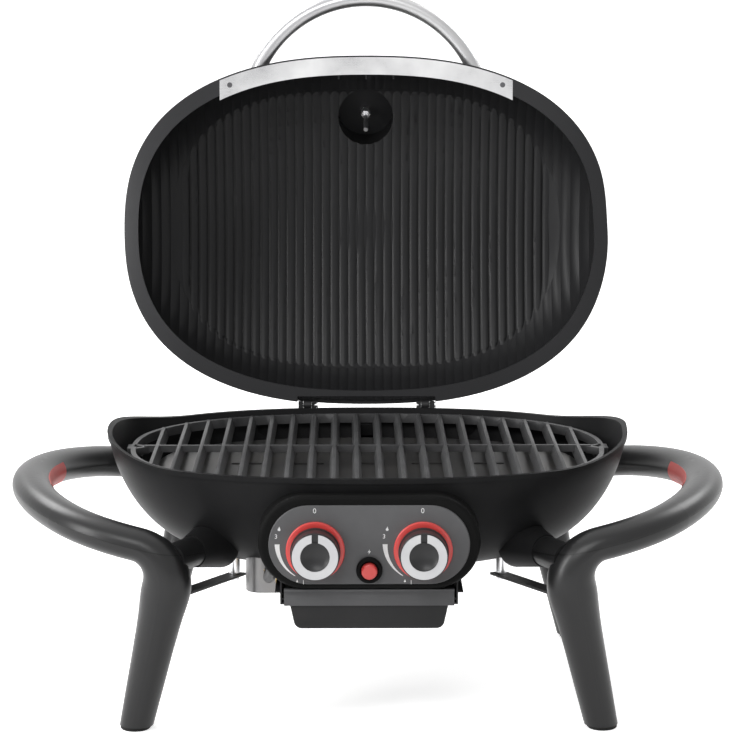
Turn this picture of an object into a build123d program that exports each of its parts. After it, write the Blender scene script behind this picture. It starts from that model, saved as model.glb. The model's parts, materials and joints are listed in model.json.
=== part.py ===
from build123d import *
from math import copysign, cos, hypot, pi, radians, sin, sqrt
import os

# Two-burner tabletop gas grill with its lid open. Millimetres, +Z up, -Y is the front.
# Everything is laid out about the middle of the bowl, on the floor, and moved at the end
# so that the origin is the middle of the floor that the open grill covers.

# Bowl and lid outline in plan: |x/a|^n + |y/b|^n = 1
PLAN_POWER = 2.42
OVAL_POINTS = 24
BOWL_HALF_X = 265.0
BOWL_HALF_Y = 191.3
BOWL_WALL = 3.4

# Rim: level in the middle, rising in an arc towards both ends
RIM_Z = 254.0
RIM_END_RISE = 16.0
RIM_LEVEL_HALF_X = 190.0
RIM_BEAD_DEPTH = 5.0
RIM_BEAD_PROUD = 1.5
RIM_GAP = 0.4

# Bowl section: the plan shrinks with depth u as (1 - u^1.5)^(1/4.9)
BOWL_TOP_Z = RIM_Z + RIM_END_RISE
BOWL_BOTTOM_Z = 142.6
BOWL_LEVELS = (0.0, 0.14, 0.3, 0.46, 0.6, 0.72, 0.82, 0.89, 0.94, 0.975, 0.993)
DRAIN_R = 24.0
LEDGE_X = (-110, 0, 110)
LEDGE_DEEP = 12.0
SEAT_GAP = 0.1
PILLAR_R = 5.0
PILLAR_PLACES = ((0, 112), (0, -112), (190, 62), (190, -62), (-190, 62), (-190, -62))
BURNER_POST_X = 120.0
BURNER_Y = 5.0
BOLT_R = 4.0
BOLT_HOLE_R = BOLT_R + 0.05
ELECTRODE_X = 87.72
ELECTRODE_Z = 203.0
CERAMIC_R = 3.2

# Lid section: the plan shrinks with height u as (1 - u^3)^(1/3)
LID_HALF_X = 267.0
LID_HALF_Y = 191.5
LID_HEIGHT = 118.0
LID_WALL = 3.5
LID_LEVELS = (-0.05, 0.14, 0.32, 0.48, 0.62, 0.74, 0.84, 0.92, 0.97, 0.99)
LID_BAND = 16.0
LID_BAND_THICK = 5.0
LID_OPEN_ANGLE = 95.0

# Flutes of the lid's ceiling: round ribs that run front to back over a vault. The vault is an
# arc across the lid, turned about an axis below it so that it also falls to front and rear.
FLUTE_PITCH = 10.0
FLUTE_COUNT = 44
FLUTE_HEIGHT = 1.7
VAULT_ACROSS_R = 1010.0
VAULT_ALONG_R = 479.0
VAULT_TURN = 80.0

# Three upright fins inside the lid's front wall, above the trim strip
FIN_X = (-30.0, 0.0, 30.0)
FIN_THICK = 1.6
FIN_DEEP = 9.0

# Hinge
HINGE_Y = LID_HALF_Y
HINGE_Z = 256.5
HINGE_X = 65.0
HINGE_KNUCKLE_R = 4.5
HINGE_KNUCKLE_WIDE = 9.0
HINGE_PIN_R = 2.0
EAR_OFFSET = 7.4
EAR_THICK = 5.2
HINGE_NOTCH_HALF = 76.0
PIN_FIT = 0.05

# Lid handle bow, trim strip
BOW_R = 130.0
BOW_TUBE_R = 8.0
BOW_REACH = 62.0
BOW_Z = 272.0
BOW_END_X = 117.0
BOW_HALF_ANGLE = 68.0
TRIM_HALF = 160.0
TRIM_WIDE = 19.0
TRIM_THICK = 1.5
TRIM_EDGE = 1.6
TRIM_SCREW_X = 149.0
TRIM_SCREW_INSET = 11.0
TRIM_SCREW_R = 1.65
HANDLE_SCREW_R = 2.0

# Thermometer, leaning to the front on a turret of the lid
GAUGE_TILT = 30.0
GAUGE_FLOOR = (0.0, -134.0, 362.0)
GAUGE_FLOOR_THICK = 3.0
TURRET_R = 34.0
POCKET_R = 31.0
GAUGE_R = 31.0
BEZEL_R = 33.0
PROBE_R = 2.5
PROBE_NUT_R = 5.2
PROBE_LONG = 44.0
NEEDLE_COLD_ANGLE = 135.0

# Control panel, centred across the front
PANEL_FACE_Y = -203.0
HOUSING_HALF = 107.0
HOUSING_R = 46.0
HOUSING_Z = 194.5
HOUSING_WALL = 3.0
HOUSING_EDGE_R = 5.0
HOUSING_BACK_Y = -130.0
FASCIA_SEAT_Y = -202.0
FASCIA_OVERLAP = 3.0
FASCIA_HALF = 96.5
FASCIA_R = 38.6
FASCIA_Z = 192.7
FASCIA_THICK = 2.6
KNOB_X = 51.6
KNOB_Z = 187.5
KNOB_R = 23.0
KNOB_BACK_Y = -212.0
KNOB_FRONT_Y = -233.0
KNOB_FACE_R = 21.9
KNOB_FACE_BORE = 14.0
KNOB_DISH_R = 13.6
KNOB_DISH_DEEP = 4.6
RING_R = 28.2
RING_BORE = 22.0
RING_DEEP = 3.2
POINTER_HALF = 3.1
STEM_R = 4.0
PIPE_R = 5.5
PIPE_Y = -186.0
PIPE_Z = 212.0
PIPE_END_Z = 147.0
INLET_X = -98.0
INLET_Z = 135.0
INLET_STUB_R = 6.6
PLUG_R = 8.0
BUTTON_R = 7.7
BUTTON_FIT = 0.3
COLLAR_R = 12.6
COLLAR_NECK_R = 9.1
PIEZO_R = 10.0
BUTTON_Z = 168.5

# Burners, heat plate and grate
BURNER_Z = 187.5
BURNER_BAR_R = 12.0
BURNER_FOOT_Z = 168.0
BURNER_FOOT_R = 7.0
MIXING_TUBE_R = 10.0
HEAT_PLATE_HALF_X = 216.0
HEAT_PLATE_HALF_Y = 140.0
HEAT_PLATE_Z = 230.0
HEAT_PLATE_THICK = 2.0
GRATE_HALF_X = 243.0
GRATE_HALF_Y = 179.0
GRATE_TOP_Z = 250.0
GRATE_DEEP = 11.0
BAR_PITCH = 22.8
BAR_COUNT = 20
BAR_TOP_WIDE = 3.4
BAR_FOOT_WIDE = 9.6

# Drip tray and its rails
TRAY_TOP_HALF = 76.8
TRAY_FOOT_HALF = 71.2
TRAY_TOP_Z = 133.0
TRAY_BOTTOM_Z = 107.5
TRAY_FRONT_Y = -193.0
TRAY_BACK_Y = 22.0
TRAY_SHEET = 1.5
TRAY_LIP = 5.2
TRAY_CORNER_R = 8.0
TRAY_PLATE_HALF = 82.0
TRAY_PLATE_LOW_Z = 130.5
TRAY_PLATE_TOP_Z = 147.5

# Side frames: a loop in a plane that climbs outwards, an elbow and a leg at each end of it
LOOP_CENTRE_X = 203.8
LOOP_CENTRE_Z = 184.9
LOOP_REACH = 140.5
LOOP_CLIMB = 29.2
LOOP_HALF_Y = 185.8
LOOP_END_ARC_R = 225.0
LOOP_STOP_ANGLE = 80.0
LOOP_HALF_WIDE = 20.6
LOOP_HALF_HIGH = 16.3
GRIP_PROUD = 0.5
GRIP_DEEP = 2.5
GRIP_TOP_ANGLE = 143.0
GRIP_LOW_ANGLE = 235.0
GRIP_HALF_TURN = 15.0
ELBOW_TANGENT = 38.0
ELBOW_RINGS = 6
LEG_TOP_R = 24.0
LEG_FOOT_R = 15.6
FOOT_X = 229.0
FOOT_Y = 166.0
FOOT_THICK = 4.0
LUG_R = 16.0
STAY_POST = (136.0, -45.0, 124.0)
STAY_LEG_END = (200.0, -172.0, 131.0)
STAY_SCREW_R = 2.5

# The grill covers this much floor behind the bowl's middle more than before it
ORIGIN_FROM_BOWL_Y = 60.06


def save(name, shape):
    """Moves a piece to the part's origin and writes it."""
    placed = Pos(0, -ORIGIN_FROM_BOWL_Y, 0) * shape
    solids = placed.solids()
    placed = solids[0] if len(solids) == 1 else Compound(children=list(solids))
    export_step(placed, f"parts/{name}.step")


def left_and_right(right):
    """A piece of the right side and its mirror image."""
    return right, right.mirror(Plane.YZ)


def all_four(front_right):
    """The same piece at all four corners."""
    rear_right = front_right.mirror(Plane.XZ)
    pieces = [front_right, rear_right]
    pieces += [piece.mirror(Plane.YZ) for piece in (front_right, rear_right)]
    return Compound(children=[solid for piece in pieces for solid in piece.solids()])


def rod(start, end, radius):
    """A round bar between two points."""
    start, end = Vector(start), Vector(end)
    along = end - start
    return Solid.make_cylinder(radius, along.length, Plane(origin=start, z_dir=along))


def block(low, high):
    """A box between two opposite corners."""
    sizes = [b - a for a, b in zip(low, high)]
    middle = [(a + b) / 2 for a, b in zip(low, high)]
    return Pos(*middle) * Box(*sizes)


def oval(half_x, half_y, z):
    """The plan curve of bowl and lid at one height."""
    points = []
    for i in range(OVAL_POINTS):
        angle = 2 * pi * i / OVAL_POINTS
        x = copysign(abs(cos(angle)) ** (2 / PLAN_POWER), cos(angle))
        y = copysign(abs(sin(angle)) ** (2 / PLAN_POWER), sin(angle))
        points.append((half_x * x, half_y * y, z))
    return Wire([Edge.make_spline([Vector(*p) for p in points], periodic=True)])


def oval_y(half_x, half_y, x):
    """Half the depth of the plan curve at a distance x from the middle."""
    return half_y * (1 - abs(x / half_x) ** PLAN_POWER) ** (1 / PLAN_POWER)


def oval_slab(half_x, half_y, low, high):
    """An upright block with the plan curve as its outline."""
    return extrude(Face(oval(half_x, half_y, low)), amount=high - low, dir=(0, 0, 1))


def bowl_body(inset):
    """The bowl's outside as a solid, or its inside with a wall's thickness as inset."""
    depth = (BOWL_TOP_Z - BOWL_BOTTOM_Z) / BOWL_LEVELS[-1] - inset
    rings = [oval(BOWL_HALF_X - inset, BOWL_HALF_Y - inset, BOWL_TOP_Z + 6)]
    for u in BOWL_LEVELS:
        share = (1 - u**1.5) ** (1 / 4.9)
        half_x = (BOWL_HALF_X - inset) * share
        half_y = (BOWL_HALF_Y - inset) * share
        rings.append(oval(half_x, half_y, BOWL_TOP_Z - u * depth))
    return Solid.make_loft(rings)


def lid_body(inset):
    """The closed lid's outside as a solid, or its inside."""
    height = LID_HEIGHT - inset
    rings = []
    for u in LID_LEVELS:
        share = (1 - max(u, 0) ** 3) ** (1 / 3)
        half_x = (LID_HALF_X - inset) * share
        half_y = (LID_HALF_Y - inset) * share
        rings.append(oval(half_x, half_y, RIM_Z + u * height))
    return Solid.make_loft(rings)


def rim_block(lift, far_z):
    """All that lies between the rim surface, raised by lift, and the level far_z."""
    reach = 300.0
    flat = RIM_LEVEL_HALF_X
    rise_run = BOWL_HALF_X - flat
    radius = (rise_run**2 + RIM_END_RISE**2) / (2 * RIM_END_RISE)
    level = RIM_Z + lift
    turn = (reach - flat) / radius
    half_turn_x = flat + radius * sin(turn / 2)
    half_turn_z = level + radius * (1 - cos(turn / 2))
    end_x = flat + radius * sin(turn)
    end_z = level + radius * (1 - cos(turn))
    outline = Wire(
        [
            Edge.make_line((-flat, 0, level), (flat, 0, level)),
            Edge.make_three_point_arc(
                (flat, 0, level), (half_turn_x, 0, half_turn_z), (end_x, 0, end_z)
            ),
            Edge.make_line((end_x, 0, end_z), (end_x, 0, far_z)),
            Edge.make_line((end_x, 0, far_z), (-end_x, 0, far_z)),
            Edge.make_line((-end_x, 0, far_z), (-end_x, 0, end_z)),
            Edge.make_three_point_arc(
                (-end_x, 0, end_z), (-half_turn_x, 0, half_turn_z), (-flat, 0, level)
            ),
        ]
    )
    return extrude(Face(outline), amount=250, both=True)


def open_lid(shape):
    """Turns a piece of the closed lid to where it stands when the lid is open."""
    return shape.rotate(Axis((0, HINGE_Y, HINGE_Z), (1, 0, 0)), -LID_OPEN_ANGLE)


def gauge_plane(distance):
    """The plane across the thermometer's axis, a distance out from the turret floor."""
    lean = radians(GAUGE_TILT)
    out = Vector(0, -sin(lean), cos(lean))
    return Plane(origin=Vector(*GAUGE_FLOOR) + out * distance, x_dir=(1, 0, 0), z_dir=out)


def disc(plane, radius, thick, bore=0.0):
    """A disc or ring that stands up from a plane."""
    outline = Circle(radius) - Circle(bore) if bore else Circle(radius)
    return extrude(plane * outline, amount=thick)


def panel_disc(x, z, radius, front_y, back_y, bore=0.0):
    """A disc or ring across the panel's axis direction, between two depths."""
    plane = Plane(origin=(x, back_y, z), x_dir=(1, 0, 0), z_dir=(0, -1, 0))
    return disc(plane, radius, back_y - front_y, bore)


def stadium(half_long, radius, z, front_y, back_y):
    """A bar with round ends that stands out to the front."""
    plane = Plane(origin=(0, back_y, z), x_dir=(1, 0, 0), z_dir=(0, -1, 0))
    outline = SlotOverall(2 * half_long, 2 * radius)
    return extrude(plane * outline, amount=back_y - front_y)


# Side frame geometry


def loop_plane():
    """The plane of the right loop: local x runs outwards and up, local y to the rear."""
    return Plane(
        origin=(LOOP_CENTRE_X, 0, LOOP_CENTRE_Z),
        x_dir=(LOOP_REACH, 0, LOOP_CLIMB),
        z_dir=(-LOOP_CLIMB, 0, LOOP_REACH),
    )


def loop_arcs():
    """Half an oval of three tangent arcs, as (centre, radius, angle at the join)."""
    reach = hypot(LOOP_REACH, LOOP_CLIMB)
    big = LOOP_END_ARC_R
    small = (2 * reach * big - reach**2 - LOOP_HALF_Y**2) / (2 * (big - LOOP_HALF_Y))
    big_centre_x = reach - big
    small_centre_y = LOOP_HALF_Y - small
    join_angle = Vector(-big_centre_x, small_centre_y).get_angle(Vector(1, 0))
    return big_centre_x, big, small_centre_y, small, join_angle


def loop_wire():
    """The loop's centre line from the front elbow round to the rear elbow."""
    big_x, big, small_y, small, join = loop_arcs()
    sweep_angle = LOOP_STOP_ANGLE - join
    arcs = [
        CenterArc((0, -small_y), small, -LOOP_STOP_ANGLE, sweep_angle),
        CenterArc((big_x, 0), big, -join, 2 * join),
        CenterArc((0, small_y), small, join, sweep_angle),
    ]
    plane = loop_plane()
    return Wire([plane.from_local_coords(arc.edge()) for arc in arcs])


def loop_section_plane(path):
    """The plane across the loop's front end, its local x lying in the loop's plane."""
    along = path % 0
    return Plane(origin=path @ 0, x_dir=along.cross(loop_plane().z_dir), z_dir=along)


def leg_line():
    """Loop end, corner of the elbow, direction down the leg, and where the leg starts."""
    path = loop_wire()
    start = path @ 0
    inward = (path % 0) * -1
    knee = start + inward * ELBOW_TANGENT
    down = (Vector(FOOT_X, -FOOT_Y, 0) - knee).normalized()
    return start, inward, knee, down


def make_leg():
    """Front right elbow, flaring out of the loop, and the tapering leg below it."""
    start, inward, knee, down = leg_line()
    leg_start = knee + down * ELBOW_TANGENT
    bend = Edge.make_tangent_arc(start, inward, leg_start)
    side = inward.cross(down).normalized()
    loop_side = loop_section_plane(loop_wire()).x_dir
    loop_side *= copysign(1, loop_side.dot(side))
    rings = []
    for i in range(ELBOW_RINGS - 1):
        share = i / (ELBOW_RINGS - 1)
        smooth = share * share * (3 - 2 * share)
        half_wide = LOOP_HALF_WIDE + (LEG_TOP_R - LOOP_HALF_WIDE) * smooth
        half_high = LOOP_HALF_HIGH + (LEG_TOP_R - LOOP_HALF_HIGH) * smooth
        across = loop_side * (1 - share) + side * share
        plane = Plane(origin=bend @ share, x_dir=across, z_dir=bend % share)
        rings.append(Wire.make_ellipse(half_wide, half_high, plane))
    rings.append(Wire.make_circle(LEG_TOP_R, Plane(origin=leg_start, x_dir=side, z_dir=down)))
    elbow = Solid.make_loft(rings)
    long = (Vector(FOOT_X, -FOOT_Y, 0) - leg_start).length + 8
    taper = Spline(
        (LEG_TOP_R, 0), (22.4, 0.13 * long), (19.6, 0.4 * long), (LEG_FOOT_R, long),
        tangents=[(0, 1), (-0.05, 1)],
    )
    ends = Polyline((LEG_FOOT_R, long), (0, long), (0, 0), (LEG_TOP_R, 0))
    plane = Plane(origin=leg_start, x_dir=side, z_dir=side.cross(down))
    face = plane * make_face(taper.edges() + ends.edges())
    shaft = revolve(face, axis=Axis(leg_start, down))
    below = block((150, -260, -40), (300, -100, FOOT_THICK))
    return elbow + shaft - below


def lug_axis(knee):
    """Start and direction of the stub that ties the front right elbow to the bowl."""
    start = Vector(knee.X + 3, knee.Y + 3, knee.Z - 7)
    to_bowl = Vector(-0.48, 0.877, 0).normalized()
    return start, to_bowl


def make_side_frame():
    """The right side frame: loop, two elbows with their stubs, two legs."""
    path = loop_wire()
    section = loop_section_plane(path) * Ellipse(LOOP_HALF_WIDE, LOOP_HALF_HIGH)
    loop = sweep(section, path=path)
    start, to_bowl = lug_axis(leg_line()[2])
    stub = rod(start, start + to_bowl * 38, LUG_R - 1)
    plug_hole = rod((FOOT_X, -FOOT_Y, 0), (FOOT_X, -FOOT_Y, 14), 8)
    bolt_hole = rod(start + to_bowl * 14, start + to_bowl * 60, BOLT_HOLE_R)
    front = make_leg() + stub - plug_hole - bolt_hole
    frame = loop + front + front.mirror(Plane.XZ)
    return frame - make_grip_insert()


def make_grip_insert():
    """Red pad let into the side of the right loop that faces the bowl."""
    big_x, big, _, _, _ = loop_arcs()
    plane = loop_plane()
    hub = Vector(big_x, 0)
    pad = Sketch() + Ellipse(LOOP_HALF_WIDE + GRIP_PROUD, LOOP_HALF_HIGH + GRIP_PROUD)
    pad -= Ellipse(LOOP_HALF_WIDE - GRIP_DEEP, LOOP_HALF_HIGH - GRIP_DEEP)
    wedge_reach = 60.0
    corners = [(0, 0)]
    corners += [
        (wedge_reach * cos(radians(a)), wedge_reach * sin(radians(a)))
        for a in (GRIP_TOP_ANGLE, GRIP_LOW_ANGLE)
    ]
    wedge = Polygon(*corners, align=None)
    section_plane = Plane(
        origin=plane.from_local_coords((big_x + big, 0, 0)),
        x_dir=plane.x_dir,
        z_dir=-plane.y_dir,
    )
    face = section_plane * (pad & wedge)
    axis = Axis(plane.from_local_coords(hub), plane.z_dir)
    start = face.rotate(axis, -GRIP_HALF_TURN)
    return revolve(start, axis=axis, revolution_arc=2 * GRIP_HALF_TURN)


def make_foot():
    """Rubber pad with a plug that sits in the leg's end."""
    pad = Cylinder(LEG_FOOT_R - 0.8, FOOT_THICK)
    pad = chamfer(pad.edges().group_by(Axis.Z)[0], 1.0)
    pad = Pos(FOOT_X, -FOOT_Y, FOOT_THICK / 2) * pad
    return pad + rod((FOOT_X, -FOOT_Y, 1), (FOOT_X, -FOOT_Y, 13), 8)


# Bowl and what is fixed in it


def bowl_lug():
    """Cast lug on the bowl that meets the front right frame stub."""
    start, to_bowl = lug_axis(leg_line()[2])
    plane = Plane(origin=start + to_bowl * 38, z_dir=to_bowl)
    return Solid.make_cone(LUG_R, LUG_R + 10, 46, plane), start, to_bowl


def make_bowl():
    """Cast bowl: thin shell, rim bead, ledges and pillars inside, frame lugs outside."""
    outside = bowl_body(0)
    inside = bowl_body(BOWL_WALL)
    above_rim = rim_block(0, 330)
    bead = bowl_body(-RIM_BEAD_PROUD) & (rim_block(-RIM_BEAD_DEPTH, 330) - above_rim)
    lug, start, to_bowl = bowl_lug()
    lugs = all_four(lug)
    ledge_top = GRATE_TOP_Z - GRATE_DEEP - SEAT_GAP
    ledge_low = ledge_top - LEDGE_DEEP
    ledges = [
        block((x - 9, y, ledge_low), (x + 9, y + 24, ledge_top))
        for x in LEDGE_X
        for y in (-192, 168)
    ]
    ledges += [block((x, -9, ledge_low), (x + 34, 9, ledge_top)) for x in (-266, 232)]
    ledges = [ledge & outside for ledge in ledges]
    pillar_top = HEAT_PLATE_Z - HEAT_PLATE_THICK - SEAT_GAP
    pillar_foot = BOWL_BOTTOM_Z + 1
    pillars = [rod((x, y, pillar_foot), (x, y, pillar_top), PILLAR_R) for x, y in PILLAR_PLACES]
    shell = outside - inside
    for x in (-BURNER_POST_X, BURNER_POST_X):
        foot, top = (x, BURNER_Y, pillar_foot), (x, BURNER_Y, BURNER_FOOT_Z - 0.05)
        pillars.append(rod(foot, top, BURNER_FOOT_R))
    posts = [pillar & outside for pillar in pillars]
    bowl = shell + (lugs - inside) + ledges + posts
    bowl = bowl - above_rim + (bead - inside)
    bolt_hole = rod(start + to_bowl * 30, start + to_bowl * 110, BOLT_HOLE_R)
    bowl -= all_four(bolt_hole)
    bowl -= rod((0, 0, 120), (0, 0, 160), DRAIN_R)
    for x in (-KNOB_X, KNOB_X):
        bowl -= rod((x, -200, BURNER_Z), (x, -130, BURNER_Z), MIXING_TUBE_R + PIN_FIT)
    for x in (-ELECTRODE_X, ELECTRODE_X):
        bowl -= rod((x, -200, ELECTRODE_Z), (x, -150, ELECTRODE_Z), CERAMIC_R + PIN_FIT)
    for x in (-HINGE_X, HINGE_X):
        start, end = (x - 10.6, HINGE_Y, HINGE_Z), (x + 10.6, HINGE_Y, HINGE_Z)
        bowl -= rod(start, end, HINGE_KNUCKLE_R + 0.6)
    return bowl


def make_frame_bolts():
    """Bolts from inside the bowl through each lug into the frame stub."""
    _, start, to_bowl = bowl_lug()
    shank = rod(start + to_bowl * 18, start + to_bowl * 84, BOLT_R)
    head_start = start + to_bowl * 76
    head_plane = Plane(origin=head_start, z_dir=to_bowl)
    head = extrude(head_plane * RegularPolygon(7.5, 6), amount=9)
    bolt = shank + head - (bowl_body(0) - bowl_body(BOWL_WALL))
    kept = max((bolt - bowl_lug()[0]).solids(), key=lambda s: s.volume)
    return all_four(kept)


def make_heat_plate():
    """Oval sheet over the burners with rows of slots and a turned-down edge."""
    low = HEAT_PLATE_Z - HEAT_PLATE_THICK
    plate = oval_slab(HEAT_PLATE_HALF_X, HEAT_PLATE_HALF_Y, low, HEAT_PLATE_Z)
    edge = oval_slab(HEAT_PLATE_HALF_X, HEAT_PLATE_HALF_Y, low - 5, HEAT_PLATE_Z)
    edge -= oval_slab(HEAT_PLATE_HALF_X - 2, HEAT_PLATE_HALF_Y - 2, low - 6, HEAT_PLATE_Z + 1)
    plate += edge
    for x in (-124, -62, 0, 62, 124):
        for y in (-100, 0, 100):
            if abs(x) < 100 or y == 0:
                slot = SlotOverall(34, 9)
                plate -= extrude(Plane.XY.offset(low - 1) * Pos(x, y) * slot, amount=5)
    return plate


def grate_bar(x):
    """One bar, narrow on top and wide at the foot."""
    half_long = oval_y(GRATE_HALF_X, GRATE_HALF_Y, x) - 2
    top, foot = BAR_TOP_WIDE / 2, BAR_FOOT_WIDE / 2
    plane = Plane(origin=(x, half_long, GRATE_TOP_Z), x_dir=(1, 0, 0), z_dir=(0, -1, 0))
    outline = Polygon((-foot, -GRATE_DEEP), (foot, -GRATE_DEEP), (top, 0), (-top, 0), align=None)
    return extrude(plane * outline, amount=2 * half_long)


def make_grate():
    """Iron grate: rim, bars, one cross rib and a forked lifting tab at each tip."""
    rim_low = GRATE_TOP_Z - GRATE_DEEP
    rim = oval_slab(GRATE_HALF_X, GRATE_HALF_Y, rim_low + 1, GRATE_TOP_Z - 0.6)
    rim -= oval_slab(GRATE_HALF_X - 5, GRATE_HALF_Y - 5, rim_low, GRATE_TOP_Z + 1)
    grate = rim
    for i in range(BAR_COUNT):
        grate += grate_bar((i - (BAR_COUNT - 1) / 2) * BAR_PITCH)
    grate += block((-230, -2, GRATE_TOP_Z - 7.4), (230, 2, GRATE_TOP_Z - 0.3))
    for side in (-1, 1):
        outer = [(225, -2), (240, -13), (247, -10), (247, 10), (240, 13), (225, 2)]
        inner = [(231, 0), (240.5, -7), (240.5, 7)]
        plane = Plane.XY.offset(rim_low + 2)
        tab = Polygon(*[(side * x, y) for x, y in outer], align=None)
        tab -= Polygon(*[(side * x, y) for x, y in inner], align=None)
        window = Polygon(*[(side * x, y) for x, y in inner], align=None)
        grate += extrude(plane * tab, amount=GRATE_DEEP - 3.5, dir=(0, 0, 1))
        grate -= extrude(plane.offset(-3) * window, amount=GRATE_DEEP + 4, dir=(0, 0, 1))
    return grate


def make_burner():
    """Right burner: mixing tube from the valve and the bar across the bowl."""
    tube = rod((KNOB_X, -171, BURNER_Z), (KNOB_X, BURNER_Y, BURNER_Z), MIXING_TUBE_R)
    tube -= rod((KNOB_X, -172, BURNER_Z), (KNOB_X, -20, BURNER_Z), MIXING_TUBE_R - 1.5)
    bar = rod((14, BURNER_Y, BURNER_Z), (186, BURNER_Y, BURNER_Z), BURNER_BAR_R)
    bar = fillet(bar.edges(), 4)
    port_flat = block((10, -6, BURNER_Z + BURNER_BAR_R - 1.5), (190, 16, BURNER_Z + 20))
    foot_start = (BURNER_POST_X, BURNER_Y, BURNER_FOOT_Z)
    foot = rod(foot_start, (BURNER_POST_X, BURNER_Y, BURNER_Z), BURNER_FOOT_R)
    return tube + (bar + foot - port_flat)


def make_valve_body(side):
    """Brass valve block with its spigot up to the manifold and its jet to the rear."""
    x = side * KNOB_X
    body = block((x - 13, -196, KNOB_Z - 13), (x + 13, -174, KNOB_Z + 13))
    body = chamfer(body.edges().filter_by(Axis.Y), 4)
    body += rod((x, -196, KNOB_Z), (x, -199.5, KNOB_Z), 10)
    body += rod((x, -186, KNOB_Z + 12), (x, -186, KNOB_Z + 19), 5)
    body += rod((x, -174.5, KNOB_Z), (x, -168, KNOB_Z), 4)
    body -= panel_disc(x, KNOB_Z, PLUG_R + PIN_FIT, -196.5, -177)
    body -= panel_disc(x, KNOB_Z, STEM_R + 0.6, -205, -190)
    return body - manifold_pipe()


def make_valve_plug(side):
    """Turning plug inside the valve, with a socket for the stem."""
    x = side * KNOB_X
    plug = panel_disc(x, KNOB_Z, PLUG_R, -196, -177.5)
    plug -= panel_disc(x, KNOB_Z, STEM_R + PIN_FIT, -197, -179)
    return plug - rod((x, -188, KNOB_Z - 12), (x, -188, KNOB_Z + 12), 2)


def make_valve_stem(side):
    """Stem between plug and knob, with a flat for the knob."""
    x = side * KNOB_X
    stem = panel_disc(x, KNOB_Z, STEM_R, -226, -184.5)
    return stem - block((x - 5, -227, KNOB_Z + 2.6), (x + 5, -211, KNOB_Z + 6))


def manifold_pipe(radius=PIPE_R):
    """Gas pipe: across above the valves, out of the housing and back to the inlet block."""
    path = FilletPolyline(
        (62, PIPE_Y, PIPE_Z), (-92, PIPE_Y, PIPE_Z), (-92, PIPE_Y, 165),
        (INLET_X, -150, PIPE_END_Z), (INLET_X, -116, PIPE_END_Z), radius=10,
    )
    return sweep(Plane(origin=path @ 0, z_dir=path % 0) * Circle(radius), path=path)


def make_manifold():
    """Gas pipe with its closed end."""
    return manifold_pipe() + rod((62, PIPE_Y, PIPE_Z), (66, PIPE_Y, PIPE_Z), PIPE_R + 1)


def make_gas_inlet():
    """Inlet block behind the bracket, with its hex and the male stub to the rear."""
    body = block((INLET_X - 7, -122, 126), (INLET_X + 6.5, -106, 149))
    body = chamfer(body.edges().filter_by(Axis.Y), 2)
    hexagon = Plane(origin=(INLET_X, -98, INLET_Z), x_dir=(1, 0, 0), z_dir=(0, 1, 0))
    body += extrude(hexagon * RegularPolygon(8.2, 6), amount=-8)
    body += rod((INLET_X, -106, INLET_Z), (INLET_X, -70, INLET_Z), INLET_STUB_R)
    body -= rod((INLET_X, -86, INLET_Z), (INLET_X, -69, INLET_Z), 3)
    return body - manifold_pipe() - bowl_body(0)


def make_inlet_bracket():
    """Bent sheet that carries the inlet, hung under the bowl, its end turned back."""
    sheet = 2.0
    bend_x, bend_y, bend_r = -106, -108, 16
    low, high = 125, 40
    top = low + high
    front = block((bend_x, bend_y - bend_r, low), (-92, bend_y - bend_r + sheet, top))
    middle = Pos(bend_x, bend_y, low + high / 2)
    ring = middle * (Cylinder(bend_r, high) - Cylinder(bend_r - sheet, high))
    corner = ring & block((-130, -130, low - 5), (bend_x, bend_y, top + 5))
    side = block((bend_x - bend_r, bend_y, low), (bend_x - bend_r + sheet, -84, top))
    shape = front + corner + side
    shape -= manifold_pipe(PIPE_R + 0.3)
    shape -= bowl_body(0)
    return max(shape.solids(), key=lambda s: s.volume)


def make_housing():
    """Dark housing round the panel, seated on the bowl's front."""
    housing = stadium(HOUSING_HALF, HOUSING_R, HOUSING_Z, PANEL_FACE_Y, HOUSING_BACK_Y)
    housing = fillet(housing.edges().group_by(Axis.Y)[0], HOUSING_EDGE_R)
    wall = HOUSING_WALL
    frame = FASCIA_OVERLAP
    housing -= stadium(HOUSING_HALF - wall, HOUSING_R - wall, HOUSING_Z, -199, -120)
    housing -= stadium(FASCIA_HALF - frame, FASCIA_R - frame, FASCIA_Z, PANEL_FACE_Y - 1, -190)
    housing -= stadium(FASCIA_HALF, FASCIA_R, FASCIA_Z, PANEL_FACE_Y - 1, FASCIA_SEAT_Y)
    housing -= manifold_pipe(PIPE_R + 0.4)
    return housing - bowl_body(0)


def make_fascia():
    """Grey fascia plate with holes for the stems and the igniter."""
    front = FASCIA_SEAT_Y - FASCIA_THICK
    plate = stadium(FASCIA_HALF, FASCIA_R, FASCIA_Z, front, FASCIA_SEAT_Y)
    plate = chamfer(plate.edges().group_by(Axis.Y)[0], 0.8)
    for x in (-KNOB_X, KNOB_X):
        plate -= panel_disc(x, KNOB_Z, 6, -210, -200)
    return plate - panel_disc(0, BUTTON_Z, COLLAR_NECK_R + 0.1, -210, -200)


def make_knob_ring(side):
    """Red ring on the fascia round the base of a knob."""
    front = FASCIA_SEAT_Y - FASCIA_THICK
    ring = panel_disc(side * KNOB_X, KNOB_Z, RING_R, front - RING_DEEP, front, RING_BORE)
    return chamfer(ring.edges().group_by(Axis.Y)[0], 0.8)


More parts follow.
